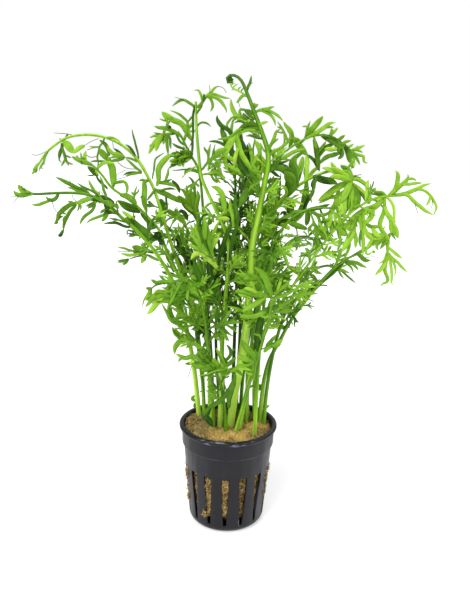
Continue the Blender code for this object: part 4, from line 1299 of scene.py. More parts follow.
# Straps drawn over the photograph, for the leaves that stand free. Each has the number of the pinna
# that it belongs to, its width at the fullest in the photograph's pixels, its tint beside the frond's own,
# and its marks from foot to tip, and ends with a semicolon. One narrower than drawn["threadWidth"] is a bare
# grey thread.
# The tints also paint shade and light: straps deep in the plant and low by the rim are darker as painted
# shade
drawnLines = {
    "frond_left_sweep": """
0 4.4 0.05 33,194 29,193.5 25,192 21.5,190 19.5,187.5 18.5,184.5;
0 1.6 0 25,191.5 24.5,189.5 24,187.5;
0 1.4 0 22.5,190 22.5,187.5 21.5,185.5;
0 3.8 0 30,194 26,195 21,195.5 17,195 14.5,193 14,190.5;
0 0.7 0 18,195.5 16,196.5 10.5,196.5;
0 0.6 0 19,196.5 17.5,198 14.5,200.5 13.5,203;
1 3.0 0 58.5,194 56.5,197.5 53.5,200 49.5,200 46.5,198 46.5,196.5;
1 2.4 0.1 51,200.5 45.5,202 42,203.5 38,205 35,205 31.5,204.5;
1 1.2 0 43,203 40.5,201.5;
1 0.8 0 52.5,201 53,205.5 55,209.5 57.5,213;
2 0.9 -0.2 72.5,195 72.5,197.5 75,200 78,203;
3 3.8 0.2 92,198.5 89.5,199 83.5,200.5 79.5,202.5 75,203.5;
3 3.6 0.05 78,202.5 75,203.5 70.5,204.5 65.5,208 61.5,211.5 58.5,214.5 58.5,218.5 56.5,221.5 54,224;
3 1.6 0.1 62,212 63.5,213.5 66.5,214;
3 1.4 -0.2 58.5,219 60.5,217 63.5,216;
3 1.3 0 57,221 58.5,222.5 55,224;
3 2.0 0.1 74,203 72,202 67.5,201.5;
3 1.6 0 70,204.5 66.5,205.5 63,207.5 59.5,210;
3 1.6 0 79,204 79,207 78,210 77.5,211.5;
3 1.6 0 79.5,204 81.5,206.5 80,210;
2 3.0 0 76,204 75,206.5 70.5,210.5 67.5,216 65,221 63.5,226 63.5,231;
2 2.6 -0.3 63.5,230 61.5,233 60.5,237.5 58.5,236;
2 1.8 0 66,216 63.5,218.5 63,222;
5 3.2 -0.1 90,195 86,191 81.5,189 77,188 72,185 66.5,182.5 62,180 55.5,177;
5 1.0 0 70.5,183.5 70.5,182 69.5,180;
5 0.6 0 62,180 60,178;
5 2.2 0 84,192 81.5,191.5 75.5,190 71,187.5 67.5,188;
5 1.8 -0.25 98,196 94,192 87.5,189 81.5,186 77.5,183;
6 2.4 0.15 99,197 97,195 93.5,189.5 90.5,184.5 88.5,179.5;
6 0.8 0 104,197 102.5,193.5 98,190;
6 2.2 0 107,200 105.5,194 103,189 103,184.5 100,176;
6 4.4 -0.3 114,203 107,199 100,197.5 92,196.5;
6 3.8 -0.35 111,214 107.5,209 106,204 103.5,199.5;
6 3.0 -0.1 119,208 113,204.5 108,202 101,201;
6 2.0 0.1 113,206.5 108,204 103,202.5 98,203;
6 2.4 -0.15 106,201 99,200.5 92,199.5 86,196.5;
6 3.4 -0.25 119,214 113,212 108,212 103,214;
6 2.0 0.15 114,212 109,209.5 105,209.5 100,211.5;
6 1.8 -0.1 101,200 95,202 91,205 88,209;
8 4.0 -0.45 157.5,238 161.5,241.5 164.5,245;
4 2.4 0.05 95.5,204 92,211 86,215 82,219.5 80,224.5;
4 2.6 0 96.5,202 90.5,204.5 86,206;
4 2.2 0.05 94,205 91,206.5 88,208;
7 2.2 0.1 112,212 102,215.5 99.5,216.5 94,218.5 90,220 86.5,223.5;
7 3.0 0.1 108,214 105,218 101.5,221.5;
7 2.6 -0.3 130,227.5 123,226 117,223 111,223 104,223.5;
7 1.5 -0.3 126,222.5 120,220.5 113.5,219 108.5,218.5;
7 3.0 0.3 134,219 127.5,215 122,211;
8 7.5 0 156,240 151,236.5 145.5,232.5 138,227.5 131,221.5 125,217.5;
8 1.6 -0.1 136,232 131,231 127,230 127.5,235.5;
8 1.4 0 139,233 135,236;
8 1.4 0 141.5,235 139,239.5;
8 1.8 -0.25 156,253 153.5,252.5 146,252;
8 5.0 -0.05 147,252.5 142.5,250.5 136.5,248 132,246.5;
8 4.0 0.05 146,253 140,253 133,252;
8 1.8 0 136,251.5 128.5,250 124,248 117.5,247.5;
8 0.7 0 130,251.5 117.5,251.5;
8 2.2 0.2 140,253.5 137,254 131,255 125.5,254.5 120.5,253.5;
8 1.4 0.1 138,254.5 134,255.5 125,256;
8 1.2 -0.2 151,247 150,245.5 146,244.5 144,246;
9 2.4 0.05 159,260.5 151,257 146,254;
9 1.0 -0.2 143,256 137,256.5 132.5,258 128,259.5;
9 1.8 0.05 129,259 125,260 117,261;
9 1.2 0 128.5,260 122,262 117,262.5;
9 2.0 0 128.5,259.5 126,262.5 123,265.5;
9 0.6 0 124,262.5 120.5,265;
9 3.6 0.3 146.5,255 143,259.5 141.5,263.5;
9 2.0 0.2 145.5,257 144.5,261.5;
""",
    "frond_left_middle": """
0 3.6 -0.05 92,165 87.5,163 83,162 79.5,160 75.5,158.5 71.5,156.5;
0 1.8 0 78,159 77,157 77,155;
0 1.6 -0.2 82,161.5 81.5,164.5;
1 3.0 0.1 89.5,164 85,161 84.5,157 84.5,154.5 86,151.5 85.5,150.5;
0 1.6 0 82,160 81,155 80.5,152.5;
0 1.6 0 81.5,158 87,158.5;
2 2.4 0.1 97.5,169 99.5,166 102.5,163.5 106,162.5 114,163;
3 4.2 -0.3 98,176 95,173 93,170.5 90.5,168 87.5,166.5;
3 1.0 -0.3 95,174 94.5,175.5 90,175.5 86.5,176;
3 2.0 -0.35 107.5,189 105.5,186 102,183.5 99,180.5 97,177 95.5,173;
3 2.0 0.2 97,176 97,173.5 95,170;
4 2.6 0.05 113.5,187.5 113.5,184 116.5,182.5 120.5,182 124.5,181.5 126.5,184.5 127.5,188.5 127,191.5
125.5,195.5;
4 4.4 0 120,195 124,195.5 129,197 134,200.5 137,204.5;
6 6.0 -0.35 140,212.5 136.5,210 131,209 125,206.5 119.5,203.5;
6 4.0 -0.2 155,227 151,224 148,220.5 144,216 140,212.5;
6 4.4 -0.2 137,208 129,206 123,203.5 117,200.5;
9 3.0 0.05 196,401 191.4,398.5 195.2,395.4;
9 4.0 -0.3 196.8,402.3 195.5,405 194.5,408;
9 1.2 0 199.8,391.6 202.5,391 205.2,390;
""",
    "frond_left_arch": """
0 2.4 0.05 39.5,163 36.5,166 34.5,171 32.5,173.5 31.5,174.5;
0 1.4 0 36,167 37,170 35.5,173;
0 1.2 0 35,169 33.5,169 32.5,169.5;
1 0.7 0 47,151 43,153 39.5,154.5 36,155.5 33.5,154.5 31.5,154;
2 1.8 -0.1 48,151.5 44.5,157 44,161 42.5,164 40.5,166 39.5,169.5 39,171.5;
2 0.6 0 43.5,162 45,165;
2 0.6 0 41,167 43,169.5;
5 2.2 0.15 65,139.8 62,141 59.5,138.5;
5 0.8 -0.3 72,135 68,134 62.5,133.5 54,133;
5 1.4 -0.2 68,134 66,137 64.5,140;
4 5.6 0.05 63.5,141.5 66,143.5 69,146.5 71,150 74,153;
6 0.7 0 99,138.5 95.5,139.5 90,142 84.5,145.5;
6 3.4 0.2 84.5,145.5 79,148 76,150.5 73,153.5;
3 2.6 -0.25 62,143 62,148.5 60.5,151 59.5,154.5 59,159.5;
3 1.0 -0.1 59.5,157 59,160 61.5,162.5;
3 2.2 -0.05 62,146 63,151 64.5,154.5 65.5,159.5 67.5,163 69,166;
3 1.4 0 67,162 70,163.5 73,164.5;
3 1.6 0 65.5,158.5 64.5,160.5 62.5,164 61,166;
3 1.4 -0.1 65,155.5 68,156.5 71.5,158;
7 3.0 -0.1 109,156 108.5,152 107.5,148 105.5,144.5 102.5,142 99.5,140;
7 1.5 0 104.5,137.5 104,140 101.5,144 99,147.5 99,150.5 98,154 97,157.5 98,160 98.5,163.5 97,167.5;
7 1.3 0.05 99.5,147 94,147 89,146.5;
7 0.7 0 97,147.5 93,148 87,150;
7 5.0 0.1 108,160 106,157.5 103,154 100.5,150.5 99.5,148.5;
7 0.8 0 97,156 92,157.5 88.5,156.5 85.5,154.5;
7 1.6 -0.3 108,161.5 104,161.5 99,161 95,161 90.5,161.5;
8 5.5 0 108.5,157 109.5,163 112,167.5 112.5,173.5 113,179 113,184.5 113.5,188;
8 2.6 0.05 108,161 105.5,162.5 102,163.5 99,166 97.5,169;
8 3.0 0.1 125,158 120.5,155 116.5,154 112.5,153.5 109.5,150 107,145.5;
8 2.2 0 124,157.5 115.5,156.5 110,158;
8 2.6 -0.15 124,158.5 117.5,160 114,160.5 109.5,161.5;
8 1.9 -0.1 138,162 133.5,159.5 129.5,158 124.5,157.5;
8 2.2 -0.3 124.5,157.5 121.5,154.5 118.5,151.5 115.5,149.5 113.5,148.5;
8 0.7 0 113.5,148.5 113,145.5 112.5,141;
8 2.0 0.1 107,137.5 113,138 118,141 122,144.5;
9 1.5 -0.3 138.5,160 138,153.5 136,146.5 134.5,140 133,135 132,129;
9 2.0 -0.3 137.5,160.5 135,156.5 133.5,152.5 131,148.5 128.5,146 125.5,144.5;
10 2.2 0.05 142,172 137.5,169 133.5,165.5 130,162 126,159;
10 0.7 0 135.5,169 131,169 127.5,168.5 124,167 120,164.5 117.5,161.5;
10 0.6 0 126,170 120.5,172.5 115.5,175.5;
10 2.0 -0.2 142,173 136,172.5 131,172.5 127,173 123,175.5;
10 1.6 -0.1 142,173 136,173.5 131,174.5 125,175.5;
10 0.6 0 130,175.5 120.5,178.5 115.5,179.5;
11 4.4 -0.05 149,180 146,181 144,182 144.5,187 144.5,192 144,197 144,202 145.5,208 147,214;
11 2.4 0 146,182 143,179.5 139,181;
11 2.0 -0.2 144.5,196 142,197.5 140,197;
11 2.2 -0.15 155.5,188 153,192.5 150,196 147,200.5;
12 4.4 0.15 156.5,186 158.5,181 158.5,176 158,171 159.5,166.5 163,161.5 166.5,158 170,155.5 174,153;
13 4.2 0.1 178,196 184.5,201.5 188,206 193,212;
13 1.9 -0.1 160,192 161.5,190.5 165.5,189 172,188.5 176,189.5;
12 3.0 -0.1 158,183 165.5,183 172,184.5 176.5,185.5 178.5,190 179.5,193;
12 2.4 -0.3 172,180.5 176,184 178.5,187.5 180,193;
12 2.4 0.1 165,181 167.5,174.5 168.5,168;
13 1.8 -0.1 166,195 166.5,203 168,209;
13 4.6 0.1 165.5,210 171.5,213 177,216 182,220.5 187,225.5;
13 3.5 -0.35 179.5,210.5 183,211.5 186,215 187.5,221;
13 6.0 0 199,224 196,213 193,203 191.5,196 190.5,189;
13 2.2 -0.05 196,205 195,195 194.5,189 194,184 191.5,179 187.5,176.5;
13 3.4 0.1 195,214 190,206 186.5,195 183,190 179.5,188.5;
13 4.0 -0.2 199,222 195,214 190,210 184,204 181,199;
13 3.2 0.1 197,212 197,204 198.5,196 197,190;
13 2.6 0.1 193,208 188,199 187.5,191 186,184.5;
14 4.0 -0.1 190,262 188,250 186.5,240 187.5,233 187,226;
14 7.0 -0.25 192,262 186,254 180,249 174,246;
14 2.6 0 184,246 182,236.5 180.5,231 178.5,226.5 178.5,222.5;
14 2.6 0.05 184,246 182.5,236.5 183,229.5 184,223;
14 3.2 0 182,248 178.5,238 176.5,233 175,227.5;
14 2.4 -0.45 178,246 177.5,240 175,237 172.5,238 172,241;
14 3.0 0 178,272 173,266 170.5,262 167.5,258 165,252.5;
14 2.6 -0.1 174,272 171,264 172,258.5;
14 3.0 -0.1 177,277 171,274 165.5,273 161.5,271.5;
14 5.0 -0.4 193,280 189.5,266 186,256.5 182,248.5;
14 4.0 -0.1 190.5,288 186,277 180.5,265.5 175,252.5;
14 4.5 -0.3 197,285 194,266 192.5,252.5;
12 1.4 -0.2 152.5,179 152.5,176.5 154,169.5 154.5,163 155.5,158.5 160,155.5 164.5,152.5;
12 2.4 -0.3 157,183 161.5,182 166,181.5 172,179;
13 4.4 0.1 155.5,189 159,192 165,193.5 172,197 180,200.5 187,203;
13 2.0 0 157,190 161.5,190.5 166,188;
13 4.6 -0.2 160,199 163,203 164,208 163.5,215 162.5,220.5 160.5,227;
""",
    "frond_left_tuft": """
0 4.5 0.1 192.5,141 189,136 186,131 183.5,126 180.5,123 177,121.5 172.5,120 169,117 166.5,115 164,112.5
161.5,112;
0 1.6 0.15 172,118 170,115.5 168,113.5;
0 2.5 0.1 167.5,122.5 166.5,119.5 164.5,115.5 161.5,112;
0 1.5 0 166,121 162,120 159.5,118.5;
1 2.2 0.1 184,139 187,130 187.5,122 184.5,119 181.5,116 178,113.5 173.5,111.5 170,110.5;
2 3.0 0 182,137 176,132.5 172.5,131 169,129.5 166,128 162,128 157.5,127.5 154,126;
2 2.5 -0.2 169,129 167,126 167.5,122.5 171,121;
2 2.4 0 165,129 164.5,131 163,134;
3 1.4 0 164,134.5 157,133.5 153.5,132.5;
3 2.4 0 176,133 170,134 166,134.5 161.5,135.5 158.5,136 155,135.5 152,136.5 149.5,138;
4 3.2 0.1 165,134.5 160.5,136 158.5,138 155.5,141.5 153,145 151,149.5 148.5,154;
4 1.4 0 153.5,144.5 151,145 149,146.5;
4 4.0 0.1 163,135 160.5,136.5 159,140 157.5,143.5 156.5,147.5 156,151.5;
4 2.4 -0.1 163,135 161.5,139 160.5,143.5;
4 2.5 0 165,134.5 165,137 164,141 163,144.5;
3 2.8 0.05 167,134 167,140 167,144.5 167.5,148 168,151.5 168,155;
3 2.0 -0.1 168.5,135 170.5,139.5 170,144.5 171,149;
5 1.8 -0.15 185.5,145.5 180,142 177.5,137 176,133.5 172,130;
6 2.0 -0.2 184,149 180,147.5 177,146.5 174,144.5 172,143;
6 3.0 -0.05 199.5,173 196,171 192,169.5 188,170 184,173.5;
6 1.2 -0.1 192,169.5 187.5,169.5 183,169.5 177,170.5 172.5,170.5;
""",
    "frond_blunt_top": """
0 2.2 0 195,110 194,106 188.5,102.5 185,100 181.5,99.5 176,103 172,106.5;
0 0.6 0 184,100 181.5,99 174.5,97;
0 1.8 -0.3 195.5,104 194.5,108 193,114.5 193,123 193,137.5 191.5,143.5 189.5,146.5;
0 1.5 -0.2 192.5,116 189.5,120 187,123;
0 1.5 -0.2 192.5,125.5 189.5,127 187.5,127.5;
0 1.8 -0.3 192.5,137 192.5,147.5 191.5,156;
1 1.7 -0.1 196.5,114 198.5,110.5 200.5,108 202,104 202.5,100;
1 2.0 0 202.5,102 201.5,96.5 200,93 198,89.5 194.5,90.5;
1 2.4 -0.2 202.5,102 204.5,96.5 203.5,93.5;
2 2.6 0.1 197.5,106.5 202,103 205,97 209.5,94 211.5,91.5 215,87.5 218.5,86;
2 0.7 0 217,86.5 223,87.5 226.5,93;
2 0.6 0 210,93 210,90.5 209.5,85;
2 1.8 0 208,96 212.5,93.5 217.5,95 223.5,97.5 230.5,98.5;
3 2.6 0.05 197.5,108 202,103 206,96.5 211.5,96.5 216.5,98 220.5,100.5 223.5,105 226.5,109.5 226.5,113;
3 2.2 0 208,97 210.5,98.5 212.5,103 213,107 210.5,111.5;
4 1.6 -0.1 197,127 198,125 201,122.5 205,122.5 208.5,124 211,127;
8 4.6 -0.2 212,258 207,250 203,238 200.5,229.5 198.5,222 197,214;
8 3.0 0.1 206,252 201,243 197.5,234 195.5,226;
8 3.4 -0.1 214,262 211,251 208,240 206,230;
8 5.0 -0.05 205,240 204,231 204.5,223.5 203.5,217;
8 4.0 0.05 209,244 208,233.5 206.5,228 206,221;
8 1.8 -0.4 200,226 201.5,217.5 204.5,215 208.5,214;
8 3.2 0.1 209,256 203,249.5 197.5,242.5 193.5,237 189,234.5;
8 3.4 -0.2 210,257 207,252 203.5,246.5 199,239 194.5,234.5;
8 3.0 0.1 201,244 196,235 193,230.5 189.5,227;
10 5.0 0.35 217,268 210.5,260 206.5,255.5 203,253 198,252.5 193.5,255 191,259.5;
10 3.0 0.15 204,253 196,248 191.5,246 187,243.5;
10 5.5 0.15 205,262 207,254 210.5,246.5 213.5,242.5 216.5,236.5 221,233;
10 2.6 0.05 208,250 209.5,243.5 211.5,236.5 214.5,230.5 218,223.5 221.5,219;
10 4.0 -0.1 206,285 201,270 199,258;
10 5.0 -0.5 213,290 209.5,270 209,258;
10 5.0 -0.3 206,292 201,280 196,270 194,262;
9 4.5 0.05 226,214 223.5,202 222.5,195 219.5,190.5 216,187.5 211,186.5;
9 3.5 -0.05 212,204.5 219,208.5 223.5,210.5 229.5,211.5 237,211;
9 3.0 0.2 216,220 221,216 224.5,212.5 230,209;
9 4.0 0.35 217,219.5 223,219 229.5,219;
9 2.2 0.1 211,203 207,205 203.5,210;
9 2.4 0 215,214 212.5,218 214,223;
9 3.2 -0.35 217.5,275 219,262 222,248 226,236 232,224 239,216;
9 3.0 -0.3 229.5,262 231,250 234,236 237.5,224 240,216;
9 3.4 0 234,228 233.5,218 231,208 230,198;
9 3.4 -0.25 237,224 237,214 235,203 236,193;
""",
    "frond_tall_fiddlehead": """
0 2.2 -0.2 246,93 247,91 247.5,87.5 250,83 251,78.5 251.5,75.5;
0 1.2 -0.2 247,90 246,87;
0 0.6 0 249,85 253,82.5;
0 1.5 0.15 245.5,95 241.5,92.5 238,90.5 234,89 231,86.5 230,83;
0 1.1 0.2 230.5,86 232.5,84 235.5,83;
0 1.1 0.2 233,88.5 234.5,85.5 238,84;
0 1.1 0 238,90.5 239,88 241.5,86.5;
0 1.2 -0.2 241,92.5 241.5,90 243.5,88;
0 1.1 0.2 234,89 233,91 231.5,89.5;
1 2.8 0 248,96.5 246,95 242.5,95 239.5,99 236.5,103;
1 0.6 0 238,101 240.5,108.5;
2 3.4 0.1 252.5,110 254.5,106.5 258.5,104.5;
2 2.4 0 252,108 254,104.5 255,102.5;
2 2.4 0 255,112 262,109.5 267,109 271.5,107 274.5,107;
3 2.2 0 262,109.5 268,110 273.5,113 278,115.5 283,121;
3 2.2 0 260,110 266,112.5 270,114.5 274,119.5 275.5,125.5;
3 2.4 0.1 259,124 261.5,123.5 268,121.5;
4 6.0 -0.25 257,119 252,115 248,111 244,109.5;
4 5.0 -0.2 259,128 252,124 246,119 243,113;
4 4.0 0.3 250,121 244,120 240,118;
4 4.2 0.25 247,122 238,117.5 234,111.5 231.5,104.5 231,99;
4 2.2 0 246,110 239,109.5 240,115 239.5,123;
4 1.6 0 240,118 232.5,117 227.5,124 226.5,127;
4 1.8 0 238,118 233,120 232,128;
5 4.0 -0.1 260.5,128.5 253,127.5 246,127.5 240.5,130.5;
5 3.0 -0.25 259,125.5 250,124.5 243,125.5 239,128.5;
5 2.4 0.05 257,131.5 250,130 244,131 241,134.5;
5 2.0 -0.35 248,127 243,122 238,121 234.5,123;
5 1.8 -0.3 264,139 256,137.5 251,135.5 246,136;
5 2.0 0 240,130 230,137 222,139 217,139;
4 2.6 0.1 253,121 252.5,119 253,114.5;
4 2.6 -0.1 241,122 240.5,116 239.5,110;
6 5.0 0.12 263,134 252,128 240.5,130.5 235,135.5 230,143.5 226.5,149 224.5,155 225,163 228,171;
6 4.6 0.1 240,131 236.5,135 238,144.5 240.5,153 245,161 253,171;
6 3.0 0.15 227,149 220,150 216,152.5 213.5,156;
6 2.2 0.1 224,156 213.5,157 210,159.5 207,161.5;
6 2.2 0.15 213,158 211,160.5 209.5,165 208,171.5;
6 2.2 0 224.5,158 220,159.5 215,164 209.5,169.5;
6 2.6 0.1 215.5,163 219,168 220.5,173 222,176 225.5,179;
6 2.6 0.1 222,176 218.5,172 214,172 207,173.5;
6 2.6 0.2 225,163 230,166 236,169 240.5,172.5 243.5,175.5;
6 3.4 0.1 225,156 230,158 234,161 236,166;
6 3.0 0.2 238,148 235,158 235,163 234,168;
7 2.6 0.05 268,154 269,148.5 273,141 275,135.5 276,131 280.5,129.5;
7 2.0 0 271.5,144 273.5,142 278.5,138.5;
7 2.2 0 268,156 278,149.5 287,143 290.5,137 290,131;
7 2.2 0 288,141.5 284.5,133 281,126.5 277.5,121.5;
7 1.4 0 282,129 277,126.5;
7 1.4 0 284,133 275,131.5;
7 2.0 0 290,134 285.5,124.5 283.5,121.5;
8 3.4 -0.3 246,175.5 254,176.5 257.5,182.5 258.5,189.5 255.5,198;
8 6.0 -0.4 238.5,158 241,165 245,172 250,178;
8 5.5 -0.35 247.5,188 245,195 242,201 240,207;
8 1.6 -0.15 262,178 257,184 252,186 248,192;
8 2.0 -0.1 264,172 258,172 252,170 247,166;
""",
    "frond_right_crown": """
5 2.0 -0.1 300,143.5 305.5,138 306.5,133 307.5,128 309,124 310.5,121;
5 1.6 0 307.5,129 307,126.5 304.5,126 302,127;
4 4.6 0.1 305.5,136 308,133 312.5,129 316,125 320,120.5 323,116;
4 3.4 0.1 305,139 311,135.5 316,133 322,129 326.5,126 329.5,123 335.5,122.5;
4 1.8 0 322,129.5 325.5,127.5 330.5,127 334,127.5;
3 3.0 0.05 329,139 330.5,135.5 332,132.5 331.5,128;
3 2.4 0 331,135 335,131 338,127.5;
2 2.6 0.05 336,141.5 341,138 345,135;
2 2.4 0 340,146 345,142 351.5,140.5;
6 6.0 -0.3 326,138 333,141 339,143.5 343,150;
6 3.0 0.15 339,147 333,149.5 326,150;
6 3.4 -0.25 341,152 334,155 327,156.5 320,162;
6 4.0 -0.2 340,143 340,149 342,155 338,159;
7 5.0 -0.35 343,144 347,150 349,156 350,163;
7 3.4 -0.2 347,149 351.5,156 353,163 351.5,169;
7 2.2 0.1 350,156 353.5,163 354,168;
8 5.0 -0.15 314,139 316.5,148 318,158 319.5,171;
8 3.4 -0.1 318,158 322,151 328,146 335,144;
1 2.2 0 345,150 349,147 353.5,144;
1 2.6 0.1 346,151 352,150.5 356.5,148.5 361,147 365,145;
1 1.2 0 356,149 357.5,145.5;
0 2.0 0.05 352,150.5 357,150 363,152.5;
0 2.4 0 349,150.5 355.5,154 360.5,155.5 364,156 363.5,162 368,163;
0 2.2 0 353,152.5 356,157 358,160.5 360,165;
7 2.4 -0.05 348,149 351.5,153 353,160 354.5,164 353,168.5;
6 6.5 -0.25 321,134.5 324.5,137 330.5,139.5 336,142.5 338,148.5 339.5,153;
6 2.6 0.3 337,150 329.5,148.5 324.5,149;
8 2.8 0 314,137 315.5,146 316,153 318.5,162.5 319,172;
8 2.4 0.05 317,155 319,150.5 323.5,145.5 326,141;
8 2.4 0.05 318.5,164 324.5,159 329.5,156.5 335,152;
8 5.2 0.1 292,137 296,141 300,147 304,152 308,155.5;
8 2.6 -0.25 307,155 312.5,158.5 316,163.5 318.5,170.5;
8 3.4 0.1 300,146 298.5,141 297,137.5;
8 3.6 0.1 289.5,148 291.5,141 291.5,133 289,129 286,126 283.5,122;
9 3.2 0.1 276,161 280.5,159 286,156 292,152.5 298,150 306,149;
9 4.5 -0.25 303,152 297,156 293.5,159.5 291.5,163.5 291.5,168.5 293.5,173 296.5,177 297.5,184;
9 3.5 -0.05 296,157 294.5,163 297,169.5 298.5,175.5 297.5,182.5;
9 4.5 0 303,157 301,167 299,173.5 298.5,183;
9 3.4 -0.05 307,156 307.5,163.5 306,169.5 304.5,178.5;
8 3.0 0 318.8,167 312.5,171.5 310.5,175.5 306,181;
10 5.0 -0.1 272,172 273.5,166 277.5,163 280,158.5;
10 3.0 0.1 268,158 270,153.5 275.5,150 281.5,149.5 285,151;
10 4.5 -0.1 268,167 275,167.5 279,168 283,169.5 287.5,174;
10 2.6 -0.3 266,170 272,171 275.5,174.5 280.5,177;
10 3.4 -0.2 265,183 270.5,180.5 275,179.5 281,178.5;
10 3.0 0.2 256,172 253.5,167 252,157.5 250.5,149.5 248.5,142.5;
10 3.2 0.1 262,170 260,157.5 259.5,150 256.5,144 254,138;
10 7.5 0.1 259,180 258.5,169.5 258.5,161.5 257,154;
10 3.6 0.15 266,176 264,169.5 263.5,163 262,157;
""",
    "frond_right_top": """
8 9.0 -0.2 287,196 290,187 291,180.5 288,174.5 284,172;
9 6.0 0.1 266,207 273.5,203.5 281.5,201.5 287,199.5 292,199;
9 4.5 0 264,236 270,222 274,212 277,206;
7 6.0 0.1 307,181 306,194 303.5,208 298,218 290,224;
7 3.0 -0.35 302,212 306.5,202.5 311,195.5 313.5,189.5 311,184;
5 5.5 -0.4 313,176 323.5,180 330.5,181 337.5,183.5;
2 4.0 0.25 343,176 335.5,172 328.5,169 322,168;
2 3.0 0.25 338,173 333.5,166.5 331,162;
1 5.0 0 352,177 347.5,170 340.5,165;
1 2.0 0 346,171 351,164 356,158.5;
0 2.2 0 344,172 352,176 357,177.5 362,177.5;
0 0.6 0 350,176 355.5,175.5 361.5,174.5;
3 6.5 0 346,170 348.5,175 351.5,182;
3 4.5 0.1 351.5,181.5 346.5,179.5 341,177.5 334,176.5 329.5,177;
3 5.5 0.2 350,179 341,173.5 334.5,170 327.5,168.5;
4 5.5 0.2 351.5,181.5 346.5,183 341,185.5 334.5,189 328.5,194 323.5,197 318,201;
4 3.2 0.2 345,190 337,196.5 330,197 323.5,200.5 318,203.5;
3 4.5 0.15 351.5,181 352.5,184.5 353.5,192 353.5,199 353.5,206.5 349.5,213.5 346,219;
3 6.0 0.1 351.5,181 349,186 346,192 343,198.5 339,203.5;
4 4.2 0.3 339,189 337,197.5 336,203.5 332.5,209 329.5,216 330,222;
4 3.0 0.3 330,218 327,220.5 323.5,220.5;
4 3.0 0.3 330,219 327,225 325.5,229.5;
4 3.0 0.2 330.5,219 331.5,227 330.5,234;
4 2.6 0.2 336,204 338.5,213.5 339.5,220 340.5,224.5;
3 3.0 0.35 340,202 343,211 345,217 343.5,223.5;
3 5.0 -0.1 352,183 352,192 351,201 349,210;
3 4.0 -0.2 355,186 357,194 358,203 356,210;
3 4.6 0.1 349,184 345,193 344,203 346,213;
3 4.2 -0.2 347.5,190 346.5,197.5 346.5,205.5 346,213.5;
3 5.0 0.15 352,183 355,187 360,191 365,195;
3 3.0 -0.25 353,187 356.5,191 361,193 364,196.5 365,201.5;
3 5.0 -0.2 354,186 357.5,195 358,201 357.5,206.5;
3 3.2 0.1 351.5,180.5 354.5,179 360,180.5 364,183 367,186 367.5,189.5 366,193;
3 3.4 0.15 367,187 367.5,183.5 368.5,180;
8 7.0 -0.3 287,195 288.5,187 290.5,180.5 290.5,175.5 287.5,171.5 282.5,169 276.5,168;
6 4.5 -0.25 298,186 295,178 293.5,170.5 291,166.5 290.5,160;
6 3.4 -0.05 297,186 297,178.5 297.5,173.5 300.5,170.5 303,162;
6 3.6 0.1 305,182 306,178.5 307,168 306,155;
7 5.0 -0.1 306,180 306.5,188.5 306,196 303,205 297,214;
8 2.4 0.3 274,206 272,196 269.5,192;
8 2.4 0 276,205 278,196 278.5,190 275.5,184;
8 1.7 -0.2 279,202 280,190 281,173;
8 2.4 0.1 284,198 287,192.5 284.5,187 281.5,184.5;
8 4.0 0.2 279,202 285,201 291,198.5;
5 4.0 -0.4 318,175.5 314,182 312,186 316,188;
5 5.0 -0.4 317,177 324,181 330,183.5;
5 2.0 -0.3 316,178 313.5,190 310,196 312,203;
9 2.4 0.15 266,217 278,205 288,196 301,185;
""",
    "frond_right_middle": """
4 3.4 -0.15 302,212 313,209 321,207.5 330,204;
4 3.0 0 304,212 313,212 318,215.5 326,214.5 332,210;
4 2.2 0 315,213 319,219 321,226.5;
4 4.2 -0.2 307.5,210 307.5,219 306,226;
4 3.6 0.1 303,211 295,212 288.5,216 280,218.5;
4 6.5 -0.2 297,215 290,211 290.5,205 291,197;
6 4.0 -0.35 293,219 287.5,221 279,221.5 268,214;
6 3.0 -0.3 287,223 284,211 280,215.5;
4 4.6 0.3 331,213.5 330.5,218 329.5,223 325,230;
4 3.0 0.2 330,219 326.5,220 323,220;
4 3.0 0.1 331,224 332,229 330.5,234;
4 4.6 -0.15 334,222 338.5,227 343.5,231.5 348,236;
4 2.0 0 337,229 338.5,234 339.5,240;
4 3.6 0 319,218 320.5,225.5 321.5,232.5 324,238 329,241.5;
4 3.0 0.25 334,242.5 331.5,239 327.5,236.5;
4 2.4 -0.15 314.5,213 318.5,217 320,222.5 321,230 322,240;
6 4.6 0 307,229 300,226.5 293,224 287,222;
6 4.0 0.25 290,229 284,225.5 280,224;
""",
